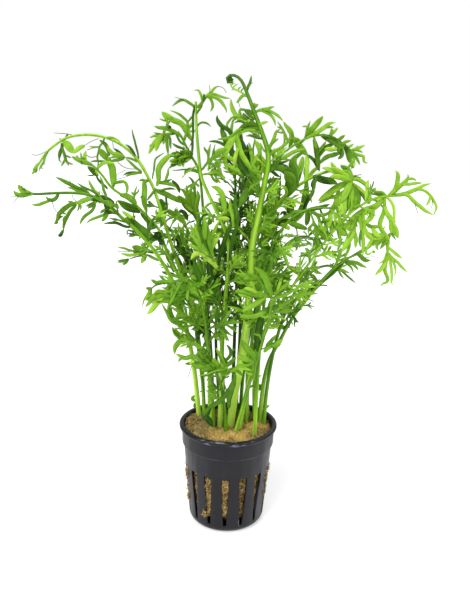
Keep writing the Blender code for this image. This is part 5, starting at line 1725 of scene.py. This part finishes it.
    "frond_right_reach": """
3 3.4 0 388,196 392.5,192 395.5,188.5 397,184 398,177 397.5,172.5 395,170.5;
2 3.5 0.05 389,196 395,191 399.5,186.5 405,182 409,177 407.5,174.5;
2 2.2 0 407,179.5 413,178.5 416.5,181;
2 2.4 0.05 402,184.5 411,184 417,183 422.5,183;
0 3.2 0.1 388,196 396,195 401.5,194.5 407.5,193 413,190.5 419,188.5 422,186 426.5,184.5 431.5,183.5;
1 2.2 0.05 417,189 424.5,190.5 429,194 432.5,198.5 435.5,204 437,208 435,211.5 433.5,215.5;
1 2.0 0 429,194 430.5,196 429,201.5 426,206;
1 0.6 0 432,199 432.5,205 430.5,209;
1 2.8 0.05 396,195 404.5,194.5 408.5,195.5 412,199.5 416,203.5 420.5,206.5 424.5,210.5 430.5,213.5
433.5,215.5;
1 0.6 0 415,203 416,208 418.5,214.5;
4 2.6 0.2 385,196 391.5,202 394,209 394,215 395,221;
8 6.2 0.15 385,198.5 380,203 373,208.5 366,211 359.5,215 355.5,218 351.5,223 346.5,226.5 341,225 336,220;
7 4.4 0.05 373,209 372,216 367.5,221 365,224;
7 3.0 0 364,212 363,218 364,224 364,229 367.5,235 373,240;
7 4.0 0.2 364,227 367.5,235 373,240;
7 3.0 0 373,238 369,245 366,250;
7 2.0 0 366.5,249 365.5,254 369,254.5 372,252;
5 3.5 0 380,227 377.5,226.5 372.5,227.5 368,225.5 364,222;
5 4.5 0.05 384,236 376,237.5 370,234 366,231;
4 4.2 0.05 385.5,206 386,211.5 389.5,217 392,220.5 393,225.5 396,229.5 398,234.5 398.5,238;
4 3.2 0.05 391.5,221 390.5,227 392,233;
5 3.2 -0.05 386,237 378.5,243.5 376,247 378.5,250;
10 3.0 -0.25 356,217 355,226.5 352.5,232.5 349.5,238.5 349,247.5 346,255 343,261;
10 5.0 0 355,222 352.5,232.5 349.5,238.5 342,252;
10 4.5 -0.25 335,228 338,228.5 342,232.5 347.5,236;
10 2.2 -0.1 339,226 340.5,242.5 338.5,246.5 338,253 341,258;
10 3.0 0.1 360,215 361.5,229 362,234.5 363.5,241 363,249.5 363,256;
10 2.0 -0.2 361,230 359.5,240.5 360.5,247;
10 3.4 -0.05 354,230 356,238 355.5,248;
9 3.0 0.1 366.5,203 366.5,194 367,187 368.5,179.5;
9 1.6 -0.05 367,190 365,184 356,179;
9 2.6 0 386.5,197 383,192.5 377.5,192 373.5,191 369.5,188.5;
9 2.3 -0.3 386,198 382,196 376.5,194 370.5,194;
9 2.6 0.2 385,198.5 381.5,198.5 377.5,200.5 371.5,199.5;
9 5.0 0 369,204 368.5,199 368.5,193.5 367,189;
5 3.8 0 384.5,198 384.5,207 383.5,213 381,219 379.5,225.5 381.5,230 384.5,234 387.5,238.5 387.5,245.5
387.5,252 389,260;
5 1.2 0 382,231 384,228 385.5,226;
5 5.0 0 386,232 381,236 376,240 373,246;
5 4.0 0.1 372,228 376,234 381,237;
5 3.6 -0.1 390,233 388,238 384,243 380,249;
6 1.4 -0.05 375,200 383,207 389,214 391,222;
6 3.0 -0.05 390,219 392,228 395,233 398,238.5;
6 2.4 -0.15 390,219 391,229 392.5,235 396,240;
5 2.6 0.1 387.5,247 390,249 394.5,252.5 398.5,256 402.5,258.5;
5 2.3 0.05 387.5,252 389.5,255.5 394,259.5 398.5,263 402,267.5 408,272.5;
5 2.2 0 388,252 391.5,257 394.5,264 396,270.5 394.5,276;
5 2.2 0.1 388,253 389.5,258 391,266.5 391.5,271.5 392,278 391,284 394,285;
5 3.0 -0.1 388,253 385.5,264 384.5,270.5 387.5,278 387.5,282.5 383,283 380.5,286.5;
5 3.5 0.15 388.5,252 387,257.5 383,266.5 378.5,271.5 375,275.5;
5 1.4 0 387.5,251 385.5,255.5 384,260.5 378,264;
""",
    "frond_right_sweep": """
1 2.2 0 346,260 350,262.5 357,263 367,267.5;
3 2.2 0 345,261 354,265 358.5,270.5;
3 1.8 0 343,261 351,267 353.5,273;
0 2.0 0 357,254 363,259 371,260.5;
0 0.6 0 360,253 364,257.5 374,256.5 378.5,258;
2 3.0 0.2 352,256.3 367,248 373,241.5 369,236.5 364,233;
1 3.2 0.2 347,261 357.5,263 361.5,265.5 367,267.5;
0 3.8 0.05 359,254 362.5,258 365,260.5 370,260.5;
3 3.4 -0.25 304,303 311,293 318,285 326,278 336,270 345,262;
3 2.6 -0.1 303,304 306,294 313,285 320,279;
5 3.6 0 310,294.5 305.5,294 301.5,292 297.5,290.5 294,291;
5 3.0 -0.05 318,285 314,277 310.5,274.5 307.5,272.5;
5 4.5 -0.1 310,275 307.5,272 308.5,267;
5 3.0 0 308,271 303.5,274 300,277 296.5,280.5 294,284.5;
5 4.2 0.3 303,275 296.5,271.5 291.5,268 286.5,266;
5 3.0 0.2 304,301 302.5,296 297.5,299 293.5,301.5 290,305.5;
6 4.0 0 287,329 285,328 279,325 276,314;
6 2.0 0 280,305 280,312 284,317.5 283.5,320;
7 5.0 0 254.5,387.5 258.8,387.8 263.3,385.5;
7 1.6 0 263.3,385.5 256.5,384.7 251.1,386.3 247.3,390.1 245.7,393.9;
7 1.2 0 257.2,377.8 258.8,376.3 261.8,375.6;
7 2.4 0.3 264.5,403 268,407.7 263.5,407.7 261.8,406.2;
7 1.8 0.2 263,406 267.5,407.5 269.5,404.3;
""",
    "frond_low_front": """
0 4.0 0 202,361 193,356 185.5,358.5 181.5,356.5 176,354;
0 2.0 0.05 184,358 180,359 178.5,362;
0 4.0 -0.1 206,365 199,363 191.5,363.5 185,364;
0 1.5 -0.1 191,341 182,339.5 177,344 174.5,350 175.5,354.5;
0 0.8 0 192,365.5 190,371 187.5,379.5;
0 4.0 0.35 191,365 191.5,361.5 194.5,362;
2 3.4 0 228,368 217.5,368.5 211,365.5 204.5,359.5 197.5,350.5;
2 4.0 -0.2 222,370 214,366 207,359 202,352;
2 3.6 -0.1 206,358 202,350 196.5,345 191,342;
2 3.0 -0.25 212,362 207,353 201,347.5 195,345;
1 4.0 -0.1 212,368 205,370 200.5,372.5;
1 3.6 0 210,366 202,366 196.5,367 191,363;
1 3.4 -0.25 214,370 206,367.5 199,364 195,360;
1 3.0 -0.15 216,371 209,373 204,377;
1 1.2 0 222,369.5 213,371.5 206,374.5 197.5,375.5;
1 2.4 -0.1 216,370 212,374 209,378;
3 3.4 0.1 226,368 222,360 219,353 216,348;
3 3.4 0.1 218,371 224,372.5 229,370 233.5,367.5;
3 3.0 0.2 223,374 227,374 231,371.5;
3 4.0 -0.1 220,368 229,364 233,360 236,357;
3 2.4 -0.2 227,367 226,361 222.5,356;
3 2.8 -0.2 224,362 230,356 230.5,350 226.5,344.5;
3 1.4 -0.3 230.5,352 235,349;
4 3.8 -0.2 203,415.5 208.5,408.5 216,403.5 223.5,397.5 231,387 234.5,378 235,372;
4 4.4 -0.3 229,408 229,398 232.5,386 235.5,376;
4 5.0 -0.65 211.5,426 209,419.5 205,416.5 211,408;
4 3.4 0.05 230,372 236,369 240,366 246,364.5;
4 2.8 0.15 238,369 243,368 247,369 251,370.5;
4 2.6 -0.1 240,369 246,366 252,363.5;
4 2.4 -0.1 236,370 240,373 243,376;
4 2.2 0.1 246,371 249,374 253,374.5;
4 2.0 -0.2 232,372 235,375.5 236,379;
""",
    "frond_low_right": """
5 6.0 -0.1 254,362 252,354.5 246.5,348 241.5,340;
5 4.6 -0.1 254,362 248,360 244,358.5 237,356;
5 3.0 0 252,364 247,363.5 242,361.5;
5 6.0 -0.42 256,358 257.5,345 258,335 260,322 263,310;
5 4.5 -0.1 255,358 257,352 258.5,345;
1 5.0 0.0 271.5,297 260,295 250.5,293 242,292 235,291;
1 3.0 0.15 257,293 250,289 244,288;
1 2.4 0.1 247,296 243,296 238,294;
1 4.4 0.05 266,296.5 254.5,304.5 248,308 242.5,311.5;
2 5.4 -0.2 279,306 270,309 262,313.5 255,315.5;
2 4.0 0.0 266,312 256,316 248,317 240,316;
2 2.0 0.1 260,315 265,317.5 271,315;
0 5.0 0 271.5,296 267.5,283.5 263,274 254.5,267;
0 2.4 -0.3 270,293 262,283.5 257,275;
3 3.0 -0.15 273,295 279,290 285,285.5 290,281;
3 2.4 0.1 277,291 280,283 282,277;
3 3.6 -0.12 272.5,298 284,295 293,290 299,288;
5 4.0 -0.15 246,374 251,370 252,362;
4 4.0 -0.1 264,352 270,346 277,344 283,339;
4 3.2 -0.15 266,346 272,340 276,335;
4 3.8 -0.1 268,344 275,346 281,344;
""",
    "frond_low_left": """
0 2.0 -0.1 176,293 170,285 166,281.5 163,283 158.5,284 154.5,285.5 152,288.5 150,289.5;
0 3.6 0 152,288 149.5,289.5 146,287.5;
0 3.6 0 151,288 150,292 151,296.5;
0 3.0 0 159,284 154.5,282 151,279.5;
0 2.2 0 168,283 162,278 159,275;
1 6.5 0.1 179,295 172.5,293 167,294 161.5,293.5 157,295.5 153,298 146,300;
1 3.4 0.1 165,293 158,291 154,294;
1 2.8 0.1 156,297 153,299.5 149,303 145.5,307;
1 3.0 0.25 150,291 146,298.5 145,300.5;
1 1.2 0 149,292 145,297.5 143.5,301 142.5,306.5;
1 6.0 0 184,299 178,297 172,298 166,300 161,302;
2 5.5 0.05 185,298 177,292 171,295;
2 4.5 -0.05 184,301 174,302 167,303;
2 4.4 0.25 170,300 160,301 156.5,303.5 152,309.5 147,314.5;
2 2.2 -0.25 161,301 155.5,302 152,303.5;
3 3.4 0 196,341 190,336 186,331 181.5,327 178,324 174.5,322.5 170.5,320 167.5,313.5 164.5,309 162,303.5;
3 4.0 -0.05 176,322 171.5,316 169.5,310 169.5,304.5 172,301;
3 4.0 0.15 176,322 178,317 180,313 181.5,308;
3 3.4 -0.05 183,315 181,311.5 178.5,307 174.5,304 168,303.5;
4 4.2 -0.05 195,340 187.5,336 182.5,336.5 177.5,335 174,331 172.5,327;
4 1.6 0 186,336 178,332.5 174.5,327;
4 1.6 0 186,332 180,328.5 175,328.5;
4 4.6 0 197,345 191.5,342 186,339.5 182,340 178,343 175,347.5 174.5,354;
4 3.6 0.1 196,343 189.5,345.5 186,348;
5 1.8 0.1 193.5,318 200,311 206,300;
5 4.0 0.3 206,300 198.5,292 191.5,287.5 186,283 182,281;
""",
    "frond_centre_back": """
1 3.4 -0.05 233,140 230,131.5 226.5,128.5 222,126.5 218.5,122 216.5,118 217.5,115;
1 4.4 -0.1 229,148 225.5,139.5 223,133 220.5,128;
1 2.6 0 229,148 220.5,143 215,141.5 209,141.5;
1 3.0 0 234,160 231,152 229,146 226,140;
0 1.4 0 230,131 226.5,125.5 228.5,121 232,117.5;
0 2.4 0.2 233,148 231.5,132 232,125.5 234,119;
3 5.0 -0.2 229.5,147 232,152.5 234.5,158 235,166;
4 5.5 -0.2 236,158 242.5,165.5 246,172.5 250.5,177;
2 4.5 -0.2 236,166 240,150 241,139.5 241,131.5;
2 4.5 -0.2 241,139 243,145.5 245.5,152.5 248.5,160 251,164.5;
2 3.0 0 235,172 243,167 250,164 258,157;
2 2.2 -0.2 249,164 247.5,150 247.5,144;
2 2.2 0.3 253,162 252.5,155 251,150 249,142.5;
2 1.4 0.1 254,160 253,150 254,144 254.5,139;
2 2.6 0.1 258,158 259.5,151 257,144.5 254.5,139;
2 1.3 0 260,157 261,146.5 257,141.5;
4 8.0 -0.3 218,302 215.5,285 213,272 211,258;
4 3.2 -0.3 218,300 223,309 228,317;
4 6.0 -0.25 228,318 226,305 226,295 227,284;
4 6.0 -0.2 243,330 241,318 237,308 230,304;
4 7.0 -0.3 256,300 255,288 254,278 252,268;
4 8.0 -0.3 254,276 262,268 267,262 273,256 281,252;
""",
    "frond_dark_stem": """
2 6.0 0.3 244,196 252,178 257,167 259,160.5 260,155;
2 4.0 0.2 245,192 252,184 256,176;
""",
}

def strapIn(words):
    # the number, width, tint and marks of one drawn strap
    number, width, tint, *marks = words.split()
    return int(number), float(width), float(tint), marksIn(" ".join(marks))


drawnStraps = {
    name: [strapIn(words) for words in lines.split(";") if words.strip()]
    for name, lines in drawnLines.items()
}

# Leaf tips still rolled up, as (pinna, across, down, radius in pixels, tint beside the frond's own)
coils = {
    "frond_left_sweep": ((2, 60, 235, 2.6, -0.35), (8, 158.2, 235.2, 4.8, -0.5), (8, 160.8, 243, 2.5, -0.5),
                         (8, 154.8, 236, 2.6, -0.45)),
    "frond_tall_fiddlehead": ((0, 230.2, 78.6, 3.9, -0.4),),
    "frond_left_tuft": ((2, 169.6, 126.4, 2.2, -0.4), (2, 172.7, 133.4, 2, -0.4)),
    "frond_right_reach": ((5, 389, 234.5, 1.8, -0.3), (4, 394.5, 221.5, 1.7, -0.3),
                          (7, 373.6, 251.4, 2.4, 0)),
}

# Dense feathery leaves: short narrow straps by rule, on both sides of a drawn rib
feathers = {
    "frond_left_tuft": {
        "pinna": 6,
        "rib": ((191, 158), (185, 154), (179, 157), (176, 165)),
        "count": 90,
        "reach": (4, 9.5),
        "width": (1.4, 2.4),
        "depth": 4 * mm,
    },
    "frond_low_front": {
        "pinna": 2,
        "rib": ((226, 369), (217, 367), (208, 361), (199, 351)),
        "count": 46,
        "reach": (4, 8),
        "width": (1.6, 3),
        "depth": 3 * mm,
    },
}

drawn = {
    "threadWidth": 0.95,
    "threadThickness": 0.3 * mm,
    "footShare": 0.8,
    "rowSpacing": 1.75 * mm,
    "swellShare": 0.3,
    "taperShare": 0.28,
    "taperPower": 0.55,
    "coilSpacing": 1.2 * mm,
    "widening": 1.3,
    "wave": 3.2 * mm,
    "waveSize": 0.045,
    "drift": 0.8 * mm,
    "coilTurns": 1.7,
}


def pixelOf(point):
    seen = photoTurn.transposed() @ (point - photo["eye"])
    scale = photo["focalPixels"] / -seen.z
    return Vector((photo["middle"][0] + seen.x * scale, photo["middle"][1] - seen.y * scale))


def drawnPoint(pinna, mark, deeper=0.0):
    # the mark on its line of sight, at the depth that its pinna has there
    mark = Vector(mark)
    foot = pixelOf(pinna.root)
    line = pixelOf(pinna.tip) - foot
    share = min(1.1, max(-0.1, (mark - foot).dot(line) / line.length_squared))
    place = Vector((mark.x, mark.y, pinna.turn * 90)) * drawn["waveSize"]
    wave = noise.noise(place) * min(1, max(0, share) * 3)
    depth = pinna.root.y + (pinna.tip.y - pinna.root.y) * share + wave * drawn["wave"] + deeper
    return onSightLine(mark.x, mark.y, depth)


class DrawnStrap(Strap):
    # a strap along drawn marks
    def __init__(self, pinna, width, tint, marks, chance, deeper=0.0):
        drift = chance.uniform(-1, 1) * drawn["drift"] + deeper
        last = len(marks) - 1
        points = [drawnPoint(pinna, mark, drift * number / last) for number, mark in enumerate(marks)]
        view = photo["eye"] - points[0]
        full = width * drawn["widening"] * view.length / photo["focalPixels"]
        foot = min(full, 1 * mm + full * 0.3) * drawn["footShare"]
        super().__init__(points[0], points[len(points) // 2], points[-1], view, chance.uniform(-0.55, 0.55),
                         chance.uniform(-0.5, 0.5), (foot, full, full), 0.3, min(1, max(0, tint)), chance)
        self.thread = width < drawn["threadWidth"]
        self.route = Route(points)
        self.length = self.route.length
        self.spacing = drawn["rowSpacing"]
        self.grey = 0.0 if self.thread else 2.0

    def frame(self, part):
        distance = part * self.length
        turn = self.turn + self.twist * part
        return frameAt(self.route.at(distance), self.route.heading(distance), self.facing, turn)

    def width(self, part):
        foot, _, full = self.widths
        if self.thread:
            return drawn["threadThickness"] * (1 - 0.35 * part)
        swell = foot + (full - foot) * min(1, part / drawn["swellShare"])
        return swell * min(1, (1 - part) / drawn["taperShare"]) ** drawn["taperPower"]


def drawnOn(frond, pinnaOf):
    # the drawn straps of a frond, with its coiled tips and its feathers
    made = []
    tint = frondTint(frond.name)
    chance = random.Random(frond.name + " drawn")
    for number, width, shade, marks in drawnStraps.get(frond.name, ()):
        # the strap's tint carries painted shade and light as well as the leaf's own tone
        own = tint + shade + chance.uniform(-0.1, 0.1)
        made.append(DrawnStrap(pinnaOf(number), width, own, marks, chance))
    for number, across, down, radius, shade in coils.get(frond.name, ()):
        turns = drawn["coilTurns"] * math.tau
        marks = []
        for step in range(13):
            away = radius * (0.72 - 0.5 * step / 12)
            angle = turns * step / 12
            marks.append((across + away * math.cos(angle), down + away * math.sin(angle)))
        made.append(DrawnStrap(pinnaOf(number), radius * 0.75, tint + shade, marks, chance))
        made[-1].spacing = drawn["coilSpacing"]
    if frond.name in feathers:
        feather = feathers[frond.name]
        line = smoothThrough([Vector(mark) for mark in feather["rib"]])
        for _ in range(feather["count"]):
            place = chance.randrange(len(line) - 1)
            heading = (line[place + 1] - line[place]).normalized()
            lean = chance.choice((-1, 1)) * chance.uniform(0.7, 1.4)
            way = Matrix.Rotation(lean, 2) @ heading
            reach = chance.uniform(*feather["reach"])
            bend = Vector((-way.y, way.x)) * reach * chance.uniform(-0.15, 0.15)
            marks = [line[place], line[place] + way * reach * 0.5 + bend, line[place] + way * reach]
            made.append(DrawnStrap(pinnaOf(feather["pinna"]), chance.uniform(*feather["width"]),
                                   tint + chance.uniform(-0.3, 0.2), marks, chance,
                                   chance.uniform(-1, 1) * feather["depth"]))
    return made


def leafMesh(frond, pinnae, straps):
    sheet = Sheet()
    for number, pinna in enumerate(pinnae):
        chance = random.Random(f"{frond.name} blade {number}")
        tint = frondTint(frond.name) + chance.uniform(-0.22, 0.22)
        strap, centre = pinnaStrap(frond, pinna, min(1, max(0, tint)), chance)
        foot = strap.row(sheet, 0)
        for index in foot:
            sheet.points[index] = sheet.points[index].lerp(centre, 0.6)
        low = strap.row(sheet, 0.02)
        sheet.strip(foot, low)
        strap.grow(sheet, low, 0.02)
    for strap in straps:
        strap.grow(sheet, strap.row(sheet, 0), 0)
    mesh = sheet.mesh(frond.name + "Leaves")
    thing = addObject(mesh.name, mesh)
    rib = thing.vertex_groups.new(name="rib")
    for index, weight in enumerate(sheet.values["rib"]):
        rib.add([index], weight, "REPLACE")
    smooth = thing.modifiers.new("smooth", "SUBSURF")
    smooth.levels = smooth.render_levels = 1
    thick = thing.modifiers.new("thickness", "SOLIDIFY")
    thick.thickness = leaf["thickness"]
    thick.offset = 0
    thick.vertex_group = "rib"
    thick.thickness_vertex_group = leaf["edgeThinness"]
    mesh = evaluated(thing)
    mesh.shade_smooth()
    return mesh


# The stalks

stalk = {
    "sides": 12,
    "ridges": 3,
    "ridgeHeight": 0.07,
    "spacing": 2 * mm,
    "tipLength": 3 * mm,
    "tipSteps": 3,
    "tipThinning": 3.3,
    "coilWidth": 1.25 * mm,
    "tipDarkening": {"frond_tall_fiddlehead": 0.6, "frond_left_sweep": 0.4},
    "footLightening": 0.24,
    "stoutness": {
        "frond_tall_fiddlehead": 0.35, "frond_right_top": 0.55, "frond_right_crown": -0.3,
        "frond_right_reach": -0.25,
    },
    "coilLength": 24 * mm,
    "coilSwell": 6 * mm,
    "coilTipLength": 0.8 * mm,
    "darkeningStart": 0.6,
}


def stalkTree():
    # a fluted tube along the path, as thick as the path's own girth says
    tree = Tree("flutedStalk", {"Ridge Height": "NodeSocketFloat", "Material": "NodeSocketMaterial"})
    start = tree.start
    circle = tree.node("GeometryNodeCurvePrimitiveCircle", None, {
        "Resolution": stalk["sides"], "Radius": 1.0})
    ridgeStep = math.tau * stalk["ridges"] / stalk["sides"]
    turn = tree.maths("MULTIPLY", tree.node("GeometryNodeInputIndex"), ridgeStep)
    flute = tree.maths("COSINE", turn)
    circle = tree.node("GeometryNodeStoreNamedAttribute", None, {
        "Geometry": circle, "Name": "flute", "Value": flute})
    grow = tree.maths("MULTIPLY", tree.named("flute"), start["Ridge Height"])
    push = tree.node("ShaderNodeVectorMath", {"operation": "SCALE"}, {
        0: tree.node("GeometryNodeInputPosition"), "Scale": grow})
    circle = tree.node("GeometryNodeSetPosition", None, {"Geometry": circle, "Offset": push})
    path = tree.node("GeometryNodeMeshToCurve", None, {"Mesh": start["Geometry"]})
    tube = tree.node("GeometryNodeCurveToMesh", None, {
        "Curve": path, "Profile Curve": circle, "Scale": tree.named("girth"), "Fill Caps": True})
    tree.finish(tube, start["Material"])
    return tree


def stalkMesh(frond, tree, material):
    # the stalk from its foot in the wool to its tip, which is drawn out unless it is cut off blunt
    length = frond.route.length
    count = math.ceil(length / stalk["spacing"])
    distances = [length * step / count for step in range(count + 1)]
    stoutness = stalk["stoutness"].get(frond.name, 0)
    girths = []
    for distance in distances:
        width = frond.width(distance) * (1 + stoutness * math.sin(math.pi * distance / length))
        if frond.coiled:
            curl = min(1, max(0, (distance - length + stalk["coilLength"]) / stalk["coilSwell"]))
            width = max(width, stalk["coilWidth"] * curl)
        girths.append(width / 2)
    if not frond.blunt:
        extra = (stalk["coilTipLength"] if frond.coiled else stalk["tipLength"]) / stalk["tipSteps"]
        for step in range(1, stalk["tipSteps"] + 1):
            distances.append(length + extra * step)
            girths.append(girths[count] * (1 - step / stalk["tipThinning"]))
    mesh = bpy.data.meshes.new(frond.name + "Path")
    points = [frond.route.at(min(distance, length)) for distance in distances]
    for index in range(count + 1, len(points)):
        points[index] = points[count] + frond.route.heading(length) * (distances[index] - length)
    mesh.from_pydata(points, [(index, index + 1) for index in range(len(points) - 1)], [])
    reach = [distance / length for distance in distances]
    darkening = stalk["tipDarkening"].get(frond.name, 0)
    start = stalk["darkeningStart"]
    tints = [stalkTint(frond.name) - darkening * max(0, share - start) / (1 - start) for share in reach]
    for title, values in (("girth", girths), ("reach", reach), ("tint", tints)):
        mesh.attributes.new(title, "FLOAT", "POINT").data.foreach_set("value", values)
    values = {"Ridge Height": stalk["ridgeHeight"], "Material": material}
    return tree.applyTo(addObject(mesh.name, mesh), values)


# Greens, with painted shade and light

greens = {
    # stalks at the back and behind others are darker, painted shade; the brightest front ones lighter,
    # painted light
    "stalks": {
        "frond_left_sweep": 0.7, "frond_tall_fiddlehead": 0.82, "frond_dark_stem": 0.1, "frond_low_left": 0.4,
        "frond_right_sweep": 0.5, "frond_right_crown": 0.55, "frond_left_arch": 0.75, "frond_blunt_top": 0.7,
        "frond_left_middle": 0.65, "frond_right_reach": 0.65, "frond_right_top": 0.65,
        "frond_low_front": 0.35, "frond_back_left": 0.2, "frond_back_middle": 0.1, "frond_back_right": 0.2,
        "frond_back_low": 0.2, "frond_centre_back": 0.2, "frond_side_right": 0.35,
    },
    "stalk": 0.5,
    # fronds deep in the plant and low at the front are darker, painted shade among the leaves
    "leaves": {
        "frond_left_sweep": 0.42, "frond_left_tuft": 0.5, "frond_tall_fiddlehead": 0.54,
        "frond_right_reach": 0.66, "frond_right_crown": 0.58, "frond_right_top": 0.56, "frond_dark_stem": 0.2,
        "frond_front_left": 0.32, "frond_front_right": 0.44,
        "frond_centre_back": 0.3, "frond_low_front": 0.5, "frond_low_left": 0.5, "frond_low_right": 0.56,
    },
    "leaf": 0.5,
}


def frondTint(name):
    return greens["leaves"].get(name, greens["leaf"])


def stalkTint(name):
    return greens["stalks"].get(name, greens["stalk"])


def leafMaterial():
    look = Recipe("fernLeaf")
    tint = look.attribute("tint")
    reach = look.attribute("reach")
    rib = look.attribute("rib")
    patch = look.grain(260, 3)
    fine = look.grain(2200, 3)
    # the tint carries each frond's painted shade and light as well as its own tone
    shade = tint + (patch - 0.5) * 0.35 + (fine - 0.5) * 0.1 + reach * 0.08
    colour = look.ramp(shade, [
        (0.05, (0.014, 0.05, 0.003)), (0.3, (0.06, 0.165, 0.006)), (0.55, (0.15, 0.33, 0.016)),
        (0.8, (0.28, 0.51, 0.034)), (1.0, (0.43, 0.66, 0.075)),
    ])
    colour = look.mix(rib.rise(0.8, 1.0) * 0.15, colour, (0.2, 0.38, 0.02))
    colour = look.mix(reach.rise(1.05, 1.6) * 0.8, colour, (0.07, 0.06, 0.055))
    return look.finish({
        "Base Color": colour, "Roughness": 0.46 + patch * 0.15, "Specular IOR Level": 0.12,
        "Subsurface Weight": 0.2, "Subsurface Radius": (0.4, 0.8, 0.1), "Subsurface Scale": 0.0015,
        "Normal": look.bump(fine * 0.4 + patch, 0.3, 0.0003),
    })


def stalkMaterial():
    look = Recipe("fernStalk")
    tint = look.attribute("tint")
    reach = look.attribute("reach")
    flute = look.attribute("flute")
    streak = look.grain(500, 3, (1, 1, 0.1))
    lower = (1 - reach.rise(0.1, 0.38)) * stalk["footLightening"]
    # the flute term paints the ridges lighter and the grooves darker: a painted highlight and shade along the
    # stalk
    shade = tint + lower + (streak - 0.5) * 0.4 + flute * 0.1
    colour = look.ramp(shade, [
        (0.05, (0.012, 0.045, 0.003)), (0.4, (0.075, 0.21, 0.006)), (0.7, (0.2, 0.43, 0.013)),
        (1.0, (0.52, 0.8, 0.09)),
    ])
    foot = (1 - reach.rise(0.0, 0.07)) * 0.45
    colour = look.mix(foot, colour, (0.17, 0.17, 0.055))
    return look.finish({
        "Base Color": colour, "Roughness": 0.42 + streak * 0.15, "Specular IOR Level": 0.2,
        "Subsurface Weight": 0.15, "Subsurface Radius": (0.5, 0.8, 0.15), "Subsurface Scale": 0.0015,
        "Normal": look.bump(streak, 0.35, 0.0003),
    })


def join(name, meshes):
    # one object of several meshes, with their materials
    things = [addObject(f"{name}Part{number}", mesh) for number, mesh in enumerate(meshes)]
    with bpy.context.temp_override(
        active_object=things[0], object=things[0], selected_editable_objects=things, selected_objects=things,
    ):
        bpy.ops.object.join()
    things[0].name = name
    return things[0]


def makeFronds():
    fronds = [tracedFrond(name, facts) for name, facts in tracedFronds.items()]
    fronds += [ruledFrond(name, facts) for name, facts in ruledFronds.items()]
    tree = stalkTree()
    leafLook, stalkLook = leafMaterial(), stalkMaterial()
    for frond in fronds:
        pinnae = pinnaeInFrame(frond)
        extra = fillPinnae(frond, list(pinnae.values()))
        replaced = {strap[0] for strap in drawnStraps.get(frond.name, ())}
        whole = [pinna for index, pinna in pinnae.items() if index not in replaced]
        straps = drawnOn(frond, lambda index: pinnae.get(index) or planPinna(frond, index, 0))
        leaves = leafMesh(frond, whole + extra, straps)
        leaves.materials.append(leafLook)
        piece = join(frond.name.replace("frond", "fern_frond"), [stalkMesh(frond, tree, stalkLook), leaves])
        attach(piece, "root")
        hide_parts(frond.name)
        print(piece.name, len(pinnae), "of", len(frond.wishes), "pinnae and", len(extra), "more,",
              len(piece.data.polygons), "faces")


makeFronds()


# Stage and light

studio = {
    "floorRadius": 3.0,
    "floorShade": 0.62,
    "floorGlow": 0.42,
    "roomLight": 0.5,
    "keyLight": 2.6,
    "fillLight": 0.9,
    "backLight": 0.9,
    "softness": math.radians(35),
}


def addLight(name, place, strength):
    # a wide soft light from that direction, even over the whole floor
    data = bpy.data.lights.new(name, "SUN")
    data.angle = studio["softness"]
    data.energy = strength
    light = addObject(name, data)
    light.location = place
    light.rotation_euler = (-Vector(place)).to_track_quat("-Z", "Y").to_euler()
    return light


def makeWorld():
    # a white backdrop that lights the plant less than it shows
    world = bpy.data.worlds.new("studio")
    world.use_nodes = True
    nodes, links = world.node_tree.nodes, world.node_tree.links
    room = nodes["Background"]
    room.inputs["Color"].default_value = (0.97, 0.98, 1, 1)
    room.inputs["Strength"].default_value = studio["roomLight"]
    backdrop = nodes.new("ShaderNodeBackground")
    backdrop.inputs["Color"].default_value = (1, 1, 1, 1)
    mixed = nodes.new("ShaderNodeMixShader")
    seen = nodes.new("ShaderNodeLightPath")
    links.new(seen.outputs["Is Camera Ray"], mixed.inputs[0])
    links.new(room.outputs[0], mixed.inputs[1])
    links.new(backdrop.outputs[0], mixed.inputs[2])
    links.new(mixed.outputs[0], nodes["World Output"].inputs["Surface"])
    bpy.context.scene.world = world


def makeStage():
    bm = bmesh.new()
    bmesh.ops.create_circle(bm, cap_ends=True, radius=studio["floorRadius"], segments=96)
    mesh = meshOf("paleFloor", bm)
    floor = addObject("pale_floor", mesh)
    look = Recipe("paleFloor")
    shade = studio["floorShade"]
    mesh.materials.append(look.finish({
        "Base Color": (shade, shade, shade, 1), "Roughness": 1.0,
        "Emission Color": (1, 1, 1, 1), "Emission Strength": studio["floorGlow"],
    }))
    makeWorld()
    bpy.context.scene.view_settings.view_transform = "Standard"
    lights = [
        addLight("keyLight", (-0.45, -0.7, 1.0), studio["keyLight"]),
        addLight("fillLight", (0.9, -0.5, 0.7), studio["fillLight"]),
        addLight("backLight", (0.2, 0.8, 1.0), studio["backLight"]),
    ]


makeStage()
print("stage and lights placed")
